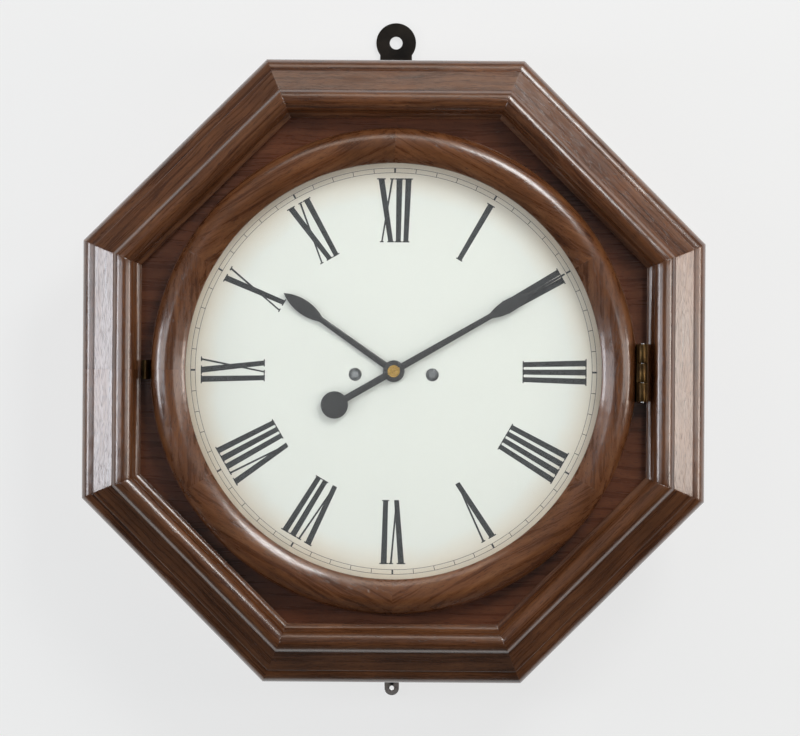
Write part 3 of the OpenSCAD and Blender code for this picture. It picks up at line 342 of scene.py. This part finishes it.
# Mahogany under french polish: warm streaks deep in a clear coat, which mirrors the windows along
# every curve, a little unevenly
polished_mahogany = wood("french polished mahogany", along_sides,
                         "#492716", "#76492b", "#8f5f3c", 1.0)
for side, place in enumerate(["right", "upper_right", "top", "upper_left",
                              "left", "lower_left", "bottom", "lower_right"]):
    piece = surface("moulding_" + place, rail(side), polished_mahogany, "case")
    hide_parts("rail_" + place)

# Screws, hanger plate and steady plate
# Steel countersunk screws hold the back board and the two plates. The hanger is forged iron,
# blackened, with a round eye for the wall hook. The steady plate's zinc coat has gone dull.


def metal(name, colour, worn, rough, scale=900.0, metallic=1.0, coat=0.0, scratch=0.02 * MM):
    """Metal with fine scratches, cloudy tarnish and a roughness that changes with it. scale is
    the number of scratches a metre: at 900 one is 1.1 mm wide, which is coarser than the real
    ones, so that they show, and 9.3 mm long, and a cloud is 13 mm wide. metallic is lower under
    a dull coat."""
    mat, tree, shader = new_finish(name)
    place = add(tree, "ShaderNodeTexCoord").outputs["Object"]
    cloud = add(tree, "ShaderNodeTexNoise", {"Vector": place, "Scale": scale / 12, "Detail": 5.0,
                                             "Roughness": 0.6})
    tones = add(tree, "ShaderNodeValToRGB", {"Fac": cloud.outputs["Fac"]},
                stops=[(0.35, linear(worn)), (0.62, linear(colour))])
    marks = add(tree, "ShaderNodeMapping", {"Vector": place,
                                            "Scale": (scale * 0.12, scale, scale)})
    lines = add(tree, "ShaderNodeTexNoise",
                {"Vector": marks.outputs[0], "Scale": 1.0, "Detail": 4.0})
    gloss = add(tree, "ShaderNodeMapRange",
                {"Value": cloud.outputs["Fac"], "From Min": 0.3, "From Max": 0.7,
                 "To Min": rough + 0.12, "To Max": rough - 0.04})
    bump = add(tree, "ShaderNodeBump", {"Height": lines.outputs["Fac"], "Strength": 0.5,
                                        "Distance": scratch})
    add(tree, shader, {"Base Color": tones.outputs["Color"], "Roughness": gloss.outputs[0],
                       "Metallic": metallic, "Normal": bump.outputs[0], "Coat Weight": coat,
                       "Coat Roughness": 0.2})
    return mat


def soften(width, *names):
    """Breaks the edges of the named CAD nodes with a narrow bevel wherever two faces meet at more
    than 35 degrees, after a weld of their loose triangles."""
    for name in names:
        weld = nodes[name].modifiers.new("weld", "WELD")
        weld.merge_threshold = 1e-6
        bevel = nodes[name].modifiers.new("broken edges", "BEVEL")
        bevel.width = width
        bevel.segments = 2
        bevel.limit_method = "ANGLE"
        bevel.angle_limit = math.radians(35)
        bevel.harden_normals = False


# Steel, filed and polished: grey, with fine scratches that draw its highlights out
polished_steel = metal("polished steel", "#a9acae", "#7d7f80", 0.28)
put_on(polished_steel, "back_screws", "plate_screws")

# Iron, forged and blackened in the fire: nearly black, uneven, with a dull gleam
black_iron = metal("blackened iron", "#1c1a18", "#2f2a25", 0.5, 600.0, 0.6, 0.0, 0.08 * MM)
put_on(black_iron, "hanger_plate")

# A zinc coat gone dull: a pale, even grey that mirrors next to nothing
dull_zinc = metal("dull zinc coat", "#d6d9d9", "#c2c6c7", 0.55, 500.0, 0.15)
put_on(dull_zinc, "steady_plate")
soften(0.5 * MM, "hanger_plate", "steady_plate")

# Movement
# Two brass plates on turned pillars hold brass wheels, polished steel arbors and blued springs
# between them. It stands on posts on the back board. A gong of blued wire is coiled below it.

# Brass, grained and lacquered: a warm yellow, softly mirrored under a thin clear coat
lacquered_brass = metal("lacquered brass", "#c7a258", "#9a7a3c", 0.26, 900.0, 1.0, 0.15)
put_on(lacquered_brass, "movement_posts", "back_plate", "front_plate", "pillars", "time_barrel",
       "time_barrel_cap", "strike_barrel", "strike_barrel_cap", "centre_wheel", "minute_wheel",
       "hour_wheel", "third_wheel", "fourth_wheel", "escape_wheel", "balance_wheel",
       "pin_wheel", "fly")
put_on(polished_steel, "pillar_nuts", "time_winding_arbor", "strike_winding_arbor", "time_click",
       "strike_click", "cannon_pinion", "lever", "hammer")
put_on(black_iron, "gong_block")

# Steel, blued over heat: dark blue, with clouds of grey
blued_steel = metal("blued spring steel", "#2b3a55", "#4a4c55", 0.25)
put_on(blued_steel, "time_mainspring", "strike_mainspring", "hairspring", "gong")

# Dial
# A zinc disc with coats of off-white paint, rubbed smooth. Six brass nails hold its rim to the
# dial board. It has yellowed a little at the rim, where dust gets at it.

low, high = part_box("dial_plate")
dial_r, dial_face = high.x, -low.y

# Oil paint, rubbed smooth: an eggshell sheen, with clouds of 33 mm, brush marks of 6 mm and faint
# specks of 2.4 mm, which is larger than the real ones, so that they show
dial_paint, tree, shader = new_finish("off-white dial paint")
place = add(tree, "ShaderNodeTexCoord").outputs["Object"]
flat = add(tree, "ShaderNodeVectorMath", {0: place, 1: (1.0, 0.0, 1.0)}, operation="MULTIPLY")
from_centre = add(tree, "ShaderNodeVectorMath", {0: flat.outputs[0]}, operation="LENGTH")
blotch = add(tree, "ShaderNodeTexNoise", {"Vector": place, "Scale": 30.0, "Detail": 5.0})
spread = add(tree, "ShaderNodeMath", {0: blotch.outputs["Fac"], 1: 14 * MM,
                                      2: from_centre.outputs["Value"]},
             operation="MULTIPLY_ADD")
rim = add(tree, "ShaderNodeMapRange", {"Value": spread.outputs[0], "From Min": dial_r - 22 * MM,
                                       "From Max": dial_r + 4 * MM})
paint = add(tree, "ShaderNodeMix", {0: rim.outputs[0], 6: linear("#dde0db"), 7: linear("#daccb8")},
            data_type="RGBA")
specks = add(tree, "ShaderNodeTexNoise", {"Vector": place, "Scale": 420.0, "Detail": 3.0})
specked = add(tree, "ShaderNodeMapRange", {"Value": specks.outputs["Fac"], "From Min": 0.68,
                                           "From Max": 0.78, "To Min": 0.0, "To Max": 0.25})
aged = add(tree, "ShaderNodeMix",
           {0: specked.outputs[0], 6: paint.outputs[2], 7: linear("#b9ad98")}, data_type="RGBA")
brush = add(tree, "ShaderNodeTexNoise", {"Vector": place, "Scale": 160.0, "Detail": 3.0})
relief = add(tree, "ShaderNodeBump", {"Height": brush.outputs["Fac"], "Strength": 0.4,
                                      "Distance": 0.05 * MM})
sheen = add(tree, "ShaderNodeMapRange",
            {"Value": blotch.outputs["Fac"], "To Min": 0.36, "To Max": 0.5})
add(tree, shader, {"Base Color": aged.outputs[2], "Roughness": sheen.outputs[0],
                   "Normal": relief.outputs[0]})
put_on(dial_paint, "dial_plate")
put_on(lacquered_brass, "dial_nails")

# Numerals and minute track
# Roman numerals in black enamel paint, feet towards the centre, with thick and thin strokes and
# thin serifs. A fine minute track of two lines and sixty marks runs round them.

numeral_low, numeral_high = 94.5 * MM, 141.5 * MM
thick, thin, stroke_gap = 4.0 * MM, 1.3 * MM, 2.1 * MM
serif_out, serif_t = 0.9 * MM, 0.9 * MM
v_width, x_width = 9.5 * MM, 10 * MM
paint_t, paint_step, line_level = 0.06 * MM, 0.3, 0.85
flare = 0.5
numeral_h = numeral_high - numeral_low

# Enamel paint, brushed on: black, worn to dark grey in patches of 4 mm, with a satin gloss
black_enamel, tree, shader = new_finish("black enamel paint")
place = add(tree, "ShaderNodeTexCoord").outputs["Object"]
patchy = add(tree, "ShaderNodeTexNoise", {"Vector": place, "Scale": 260.0, "Detail": 5.0})
tones = add(tree, "ShaderNodeValToRGB", {"Fac": patchy.outputs["Fac"]},
            stops=[(0.4, linear("#14161a")), (0.75, linear("#2f3436"))])
add(tree, shader, {"Base Color": tones.outputs["Color"], "Roughness": 0.38})


def bar(left, right, low=0.0, high=1.0):
    """A four-sided stroke. left and right each give its edge at the foot and at the top."""
    return [[left[0], low], [right[0], low], [right[1], high], [left[1], high]]


def letter_i(x):
    """The strokes of an I that starts at x, the spans of its serifs at the foot and at the top,
    and where it ends."""
    return [bar((x, x), (x + thick, x + thick))], [(x, x + thick)], [(x, x + thick)], x + thick


def letter_v(x):
    """As letter_i, for a V: a thick stroke, then a thin one, which meet at the foot."""
    foot, end = x + v_width / 2, x + v_width
    strokes = [bar((foot - thick / 2, x), (foot + thick / 2, x + thick)),
               bar((foot - thin / 2, end - thin), (foot + thin / 2, end))]
    return strokes, [], [(x, x + thick), (end - thin, end)], end


def letter_x(x):
    """As letter_i, for an X: a thick stroke crossed by a thin one."""
    end = x + x_width
    strokes = [bar((end - thick, x), (end, x + thick)), bar((x, end - thin), (x + thin, end))]
    return strokes, [(x, x + thin), (end - thick, end)], [(x, x + thick), (end - thin, end)], end


def numeral(text):
    """The strokes of a numeral as four-cornered shapes: across in metres from its middle, and up
    as a share of its height."""
    letters = {"I": letter_i, "V": letter_v, "X": letter_x}
    shapes, x = [], 0.0
    for character in text:
        strokes, feet, heads, end = letters[character](x)
        shapes += strokes
        rise = serif_t / numeral_h
        shapes += [bar((a - serif_out,) * 2, (b + serif_out,) * 2, 0.0, rise) for a, b in feet]
        shapes += [bar((a - serif_out,) * 2, (b + serif_out,) * 2, 1 - rise, 1.0) for a, b in heads]
        x = end + stroke_gap
    shapes = np.array(shapes)
    shapes[..., 0] -= (x - stroke_gap) / 2
    return shapes


def painted(name, shapes, radius_low, height, turns):
    """Thin raised shapes on the dial. Each shape's corners are (across, up). Up runs from
    radius_low, across grows by the flare's share of the radius's gain on the middle one, and the
    shape is turned clockwise from twelve by its own angle. Every second shape is a step lower,
    so that crossing strokes don't share a face."""
    radius = radius_low + shapes[..., 1] * height
    middle = radius_low + height / 2
    across = shapes[..., 0] * (1 - flare + flare * radius / middle)
    turn = turns[:, None]
    x = radius * np.sin(turn) + across * np.cos(turn)
    z = radius * np.cos(turn) - across * np.sin(turn)
    count = len(shapes)
    lift = paint_t * (1 - paint_step * (np.arange(count) % 2))[:, None]
    top = np.stack([x, -dial_face - lift + 0 * x, z], -1)
    base = np.stack([x, -dial_face + 0 * x, z], -1)
    flat = np.concatenate([top, base], 1).reshape(-1, 3)
    block = np.array([[0, 1, 2, 3], [7, 6, 5, 4], [0, 4, 5, 1],
                      [1, 5, 6, 2], [2, 6, 7, 3], [3, 7, 4, 0]])
    faces = (np.arange(count)[:, None, None] * 8 + block[None]).reshape(-1, 4)
    obj = put_in(name, flat, faces.tolist(), black_enamel)
    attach(obj, "case")


glyphs = [numeral(text) for text in ("I", "II", "III", "IIII", "V", "VI", "VII", "VIII", "IX",
                                     "X", "XI", "XII")]
hours = np.repeat(np.arange(1, 13), [len(glyph) for glyph in glyphs])
painted("numerals", np.concatenate(glyphs), numeral_low, numeral_h, hours * math.radians(30))

track_in, track_out, track_line = 145.6 * MM, 149.0 * MM, 0.32 * MM
hour_mark_w, minute_mark_w = 1.3 * MM, 0.45 * MM
minutes = np.arange(60)
half = np.where(minutes % 5 == 0, hour_mark_w, minute_mark_w)[:, None] / 2
marks = np.stack([np.concatenate([-half, half, half, -half], 1),
                  np.tile([0.0, 0.0, 1.0, 1.0], (60, 1))], -1)
painted("minute_marks", marks, track_in, track_out - track_in, minutes * math.radians(6))


def turned(section, count):
    """Points of a body of revolution about the dial's axis: the closed section of radius and
    depth at count places round it."""
    angle = np.linspace(0, 2 * math.pi, count, endpoint=False)[:, None]
    radius, depth = section.T
    return np.stack([radius * np.cos(angle), -depth + 0 * angle, radius * np.sin(angle)], -1)


line_top = dial_face + paint_t * line_level
for name, middle in (("minute_line_inner", track_in), ("minute_line_outer", track_out)):
    inside, outside = middle - track_line / 2, middle + track_line / 2
    line = np.array([[inside, dial_face], [outside, dial_face], [outside, line_top],
                     [inside, line_top]])
    obj = surface(name, turned(line, 256), black_enamel, "case", ring=True)

# Hands
# Sheet steel, filed to shape and slightly crowned, finished in black lacquer. Each has a pointed
# leaf, and a round disc balances the minute hand. A brass washer and a pin keep them on.

# Black lacquer, baked on steel: deep black with a wet gloss, in slight ripples of 3 mm
black_lacquer, tree, shader = new_finish("black lacquered steel")
place = add(tree, "ShaderNodeTexCoord").outputs["Object"]
cloud = add(tree, "ShaderNodeTexNoise", {"Vector": place, "Scale": 300.0, "Detail": 4.0})
tones = add(tree, "ShaderNodeValToRGB", {"Fac": cloud.outputs["Fac"]},
            stops=[(0.4, linear("#0d0e10")), (0.8, linear("#26282b"))])
ripple = add(tree, "ShaderNodeBump", {"Height": cloud.outputs["Fac"], "Strength": 0.3,
                                      "Distance": 0.03 * MM})
add(tree, shader, {"Base Color": tones.outputs["Color"], "Roughness": 0.3,
                   "Normal": ripple.outputs[0], "Coat Weight": 0.6, "Coat Roughness": 0.12})


def disc_half(along, centre, radius):
    """Half the width of a disc at each distance along the hand: the root of its radius squared
    less the square of the distance from its centre."""
    return np.sqrt(np.clip(radius ** 2 - (along - centre) ** 2, 0, None))


def leaf_half(along, low, high, width):
    """Half the width of a leaf between two circular arcs that meet at both of its ends: that of
    a disc with the arcs' radius, less how far the arc's centre is from the middle line."""
    half = (high - low) / 2
    curve = (half ** 2 + width ** 2 / 4) / width
    return np.clip(disc_half(along, (low + high) / 2, curve) - (curve - width / 2), 0, None)


def stem_half(along, low, high, half_low, half_high):
    """Half the width of a straight taper, and nothing past its ends."""
    inside = (along >= low) & (along <= high)
    return inside * np.interp(along, [low, high], [half_low, half_high])


def hand(name, node, along, half, bore, turn, body):
    """A hand from its half width at each distance along it. Each side spans from the bore, or the
    middle line, to the edge. The face falls to the rim by a share of the thickness, the rim is
    square and the back is flat. The two sides share the middle line."""
    low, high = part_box(node)
    back, front = -high.y, -low.y
    inner = np.where(np.abs(along) < bore, np.sqrt(np.clip(bore ** 2 - along ** 2, 0, None)), 0.0)
    inner = np.minimum(inner, half)
    across_share = np.array([0.0, 0.35, 0.7, 0.92, 1.0, 1.0, 0.0])
    fall_share = np.array([0.0, 0.036, 0.147, 0.255, 0.36])
    depth = np.concatenate([front - (front - back) * fall_share, [back, back]])
    sides = []
    for sign in (1, -1):
        across = inner[:, None] + (half - inner)[:, None] * across_share
        x = sign * across
        points = np.stack([x * math.cos(turn) + along[:, None] * math.sin(turn), -depth + 0 * x,
                           along[:, None] * math.cos(turn) - x * math.sin(turn)], -1)
        sides.append(surface(f"{name}_side_{sign}", points, black_lacquer, body, crease=50.0))
    bpy.ops.object.select_all(action="DESELECT")
    for piece in sides:
        piece.select_set(True)
    bpy.context.view_layer.objects.active = sides[0]
    bpy.ops.object.join()
    sides[0].name = name
    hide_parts(node)


hour_l, hour_leaf_l, hour_leaf_w, hour_boss = 99 * MM, 37 * MM, 10.5 * MM, 8 * MM
minute_l, minute_leaf_l, minute_leaf_w, minute_boss = 144 * MM, 38 * MM, 10 * MM, 7 * MM
tail_l, tail_disc = 50 * MM, 10 * MM
stem_half_low, stem_half_high = 2.5 * MM, 2 * MM
stem_past_leaf = 0.8
tip_l, tip_root, tip_half_low, tip_half_high = 28 * MM, 8 * MM, 1.5 * MM, 0.7 * MM
hour_pipe, minute_pipe = 3.22 * MM, 2.22 * MM
hour_turn, minute_turn = math.radians(305), math.radians(60)

along = np.unique(np.concatenate([np.linspace(-hour_boss, hour_boss, 65),
                                  np.linspace(-hour_pipe, hour_pipe, 33),
                                  np.linspace(hour_boss, hour_l, 90)]))
half = np.maximum.reduce([
    disc_half(along, 0, hour_boss),
    stem_half(along, 0, hour_l - stem_past_leaf * hour_leaf_l, stem_half_low, stem_half_high),
    leaf_half(along, hour_l - hour_leaf_l, hour_l, hour_leaf_w)])
hand("hour_hand_black", "hour_hand", along, half, hour_pipe, hour_turn, "hour_pipe")

leaf_end = minute_l - tip_l
along = np.unique(np.concatenate([
    np.linspace(-tail_l - tail_disc, -tail_l + tail_disc, 61),
    np.linspace(-tail_l + tail_disc, -minute_boss, 8),
    np.linspace(-minute_boss, minute_boss, 57), np.linspace(-minute_pipe, minute_pipe, 33),
    np.linspace(minute_boss, minute_l, 110)]))
half = np.maximum.reduce([
    disc_half(along, -tail_l, tail_disc), disc_half(along, 0, minute_boss),
    stem_half(along, -tail_l, 0, stem_half_low, stem_half_low),
    stem_half(along, 0, leaf_end - stem_past_leaf * minute_leaf_l, stem_half_low, stem_half_high),
    leaf_half(along, leaf_end - minute_leaf_l, leaf_end, minute_leaf_w),
    stem_half(along, leaf_end - tip_root, minute_l, tip_half_low, tip_half_high)])
hand("minute_hand_black", "minute_hand", along, half, minute_pipe, minute_turn, "minute_pipe")
put_on(lacquered_brass, "hand_washer", "hand_pin")

# Bezel ring
# A ring of mahogany turned from six jointed segments, each with its grain along its own chord: a
# bold round outside, a gentle fall to the sight edge, and a rebate behind for the glass.

low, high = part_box("bezel_ring")
ring_r, ring_top, ring_back = high.z, -low.y, -high.y
sight_r = 152 * MM
ring_round, ring_dish, lip_t, lip_w = 12 * MM, 5.5 * MM, 3.2 * MM, 6.5 * MM
rebate_r = sight_r + lip_w
crest_r = ring_r - ring_round
dish_w = crest_r - sight_r
dish_curve = (dish_w ** 2 + ring_dish ** 2) / (2 * ring_dish)
dish_span = math.degrees(math.asin(dish_w / dish_curve))
lip_back = ring_top - ring_dish - lip_t
ring_section = eased(np.concatenate([
    [[ring_r, ring_back]],
    arc((crest_r, ring_top - ring_round), ring_round, 0, 90, 28),
    arc((crest_r, ring_top - dish_curve), dish_curve, 90, 90 + dish_span, 16)[1:],
    [[sight_r, lip_back], [rebate_r, lip_back], [rebate_r, ring_back]]]), ease)

along_segments = along_chords(6, 0.613, 2.2)

# Mahogany, turned and polished: lively streaks under a clear coat, along each segment in turn
ring_mahogany = wood("turned mahogany", along_segments,
                     "#502c1a", "#825130", "#9c6943", 1.0, 4 * MM)
points = turned(ring_section, 288)

# The ring's outside is cut flat where the hinge's leaf lies
low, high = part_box("hinge_door_leaf")
beside_hinge = (points[..., 0] > low.x) & (np.abs(points[..., 2]) < (high.z - low.z) / 2)
points[..., 0] = np.where(beside_hinge, low.x, points[..., 0])
ring = surface("turned_bezel", points, ring_mahogany, "bezel_door", ring=True)
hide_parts("bezel_ring")

# Glass and its bead
# A round of thin window glass lies in the ring's rebate, against its lip. A quarter-round bead
# of stained mahogany holds it from behind.

# Drawn window glass: clear, with mirror images that bend slightly in waves of 111 mm
window_glass, tree, shader = new_finish("window glass")
place = add(tree, "ShaderNodeTexCoord").outputs["Object"]
add(tree, shader, {"Base Color": linear("#fafbfa"), "Roughness": 0.0, "IOR": 1.5,
                   "Transmission Weight": 1.0})
smears = add(tree, "ShaderNodeTexNoise", {"Vector": place, "Scale": 9.0, "Detail": 3.0})
waves = add(tree, "ShaderNodeBump", {"Height": smears.outputs["Fac"], "Strength": 0.15,
                                     "Distance": 0.3 * MM})
tree.links.new(waves.outputs[0], shader.inputs["Normal"])
clear = add(tree, "ShaderNodeBsdfTransparent", {"Color": linear("#fafbfa")})
rays = add(tree, "ShaderNodeLightPath")
through = add(tree, "ShaderNodeMixShader",
              {0: rays.outputs["Is Shadow Ray"], 1: shader.outputs[0], 2: clear.outputs[0]})
tree.links.new(through.outputs[0], tree.nodes["Material Output"].inputs["Surface"])
put_on(window_glass, "glass")
put_on(case_mahogany, "glass_bead")

# Hinge and catch
# A brass butt hinge on the right, with its knuckles and steel pin in the groove between ring and
# frame, and on the left a spring of bent brass strip on the dial board.

# Brass gone brown with age: dark, with a brighter tone where it is rubbed
browned_brass = metal("browned brass", "#6e5634", "#3f3021", 0.34)
put_on(browned_brass, "hinge_case_leaf", "hinge_door_leaf", "catch_spring")
put_on(polished_steel, "hinge_pin")
soften(0.15 * MM, "hinge_case_leaf", "hinge_door_leaf", "catch_spring")

# Wall, floor, lights and camera
# The clock hangs on a white wall, which is clear from behind and lets lamplight through. A pale
# floor lies far below. Soft light falls from both sides and above, and a key from upper right.


def seen_by(tree, camera_share, glossy_share):
    """camera_share for rays from the camera or through glass, glossy_share for mirrored rays
    and 0 for those that light other surfaces."""
    rays = add(tree, "ShaderNodeLightPath")
    direct = add(tree, "ShaderNodeMath", {0: rays.outputs["Is Camera Ray"],
                                          1: rays.outputs["Is Transmission Ray"]},
                 operation="MAXIMUM")
    mirrored = add(tree, "ShaderNodeMath", {0: rays.outputs["Is Glossy Ray"], 1: glossy_share},
                   operation="MULTIPLY")
    return add(tree, "ShaderNodeMath", {0: direct.outputs[0], 1: camera_share,
                                        2: mirrored.outputs[0]},
               operation="MULTIPLY_ADD").outputs[0]


def pale(name, base, glow, camera_share, glossy_share):
    """Plain paint, of which the share that seen_by gives is an even glow. Gives the material,
    its node tree and its last shader."""
    mat, tree, shader = new_finish(name)
    add(tree, shader, {"Base Color": linear(base), "Roughness": 0.9})
    white = add(tree, "ShaderNodeEmission", {"Color": linear(glow), "Strength": 1.0})
    lit = add(tree, "ShaderNodeMixShader", {0: seen_by(tree, camera_share, glossy_share),
                                            1: shader.outputs[0], 2: white.outputs[0]})
    tree.links.new(lit.outputs[0], tree.nodes["Material Output"].inputs["Surface"])
    return mat, tree, lit


# Matt white wall paint: an even white with soft shadows round the clock
wall_paint, tree, lit = pale("white wall paint", "#f4f4f5", "#feffff", 0.72, 0.72)
facing = add(tree, "ShaderNodeNewGeometry")
rays = add(tree, "ShaderNodeLightPath")
open_side = add(tree, "ShaderNodeMath", {0: facing.outputs["Backfacing"],
                                         1: rays.outputs["Is Shadow Ray"]}, operation="MAXIMUM")
clear = add(tree, "ShaderNodeBsdfTransparent")
one_sided = add(tree, "ShaderNodeMixShader", {0: open_side.outputs[0], 1: lit.outputs[0],
                                              2: clear.outputs[0]})
tree.links.new(one_sided.outputs[0], tree.nodes["Material Output"].inputs["Surface"])

half, wall_y = 4.0, 0.6 * MM
wall = put_in("wall", [(-half, wall_y, -half), (half, wall_y, -half), (half, wall_y, half),
                       (-half, wall_y, half)], [(0, 1, 2, 3)], wall_paint)
wall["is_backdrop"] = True

# Pale floor paint: an even tone to the eye, but dim in mirrors, so that polished wood that faces
# down stays dark
floor_paint = pale("pale floor", "#7a7a78", "#e8e9ea", 0.94, 0.005)[0]
half, floor_z = 30.0, -3.0
floor = put_in("floor", [(-half, -half, floor_z), (half, -half, floor_z), (half, half, floor_z),
                         (-half, half, floor_z)], [(0, 1, 2, 3)], floor_paint)
floor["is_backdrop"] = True


def softbox(name, place, width, height, radiance, colour):
    """A flat lamp aimed at the middle of the clock, which no camera sees. Its power is its
    radiance times its area times pi."""
    data = bpy.data.lights.new(name, "AREA")
    data.shape = "RECTANGLE"
    data.size, data.size_y = width, height
    data.energy = radiance * width * height * math.pi
    data.color = linear(colour)[:3]
    lamp = bpy.data.objects.new(name, data)
    lamp.location = place
    lamp.visible_camera = False
    aim = Vector((0, -0.1, 0)) - Vector(place)
    lamp.rotation_euler = aim.to_track_quat("-Z", "Y").to_euler()
    scene.collection.objects.link(lamp)


softbox("left_window", (-1.36, -0.70, 0.0), 0.36, 0.42, 7.6, "#f7f9ff")
softbox("right_window", (1.36, -0.70, 0.0), 0.36, 0.42, 6.2, "#fff4ea")
softbox("left_wall", (-0.88, -1.20, 0.04), 0.9, 0.24, 2.8, "#f5f9ff")
softbox("right_wall", (0.88, -1.20, 0.04), 0.9, 0.24, 2.3, "#fdf9f5")
softbox("key", (0.74, -1.38, 1.15), 0.62, 0.62, 8.4, "#fafcfb")
softbox("upper_right", (0.95, -1.2, 1.15), 0.8, 0.6, 1.2, "#fff9f2")
softbox("ceiling", (0.0, -0.95, 1.4), 1.6, 0.6, 1.2, "#fff3e6")
softbox("back_light", (-0.6, 2.8, 0.5), 2.0, 2.0, 7.5, "#ffffff")

world = bpy.data.worlds.new("soft room")
world.use_nodes = True
tree = world.node_tree
seen, mirrored, everywhere = 0.87, 0.08, 0.03
strength = add(tree, "ShaderNodeMath", {0: seen_by(tree, seen, mirrored), 1: everywhere},
               operation="ADD")
add(tree, tree.nodes["Background"], {"Color": linear("#f2f3f5"), "Strength": strength.outputs[0]})
scene.world = world
scene.view_settings.view_transform = "Standard"

camera_data = bpy.data.cameras.new("camera")
camera_data.lens = 178.8
camera_data.sensor_width = 36.0
camera_data.clip_end = 50
camera = bpy.data.objects.new("camera", camera_data)
distance, right, up, tilt = 3.0, 4.6 * MM, 2.4 * MM, -0.4
camera.location = (right, -distance, up)
camera.rotation_euler = (math.radians(90), math.radians(tilt), 0)
scene.collection.objects.link(camera)
scene.camera = camera

low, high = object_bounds()
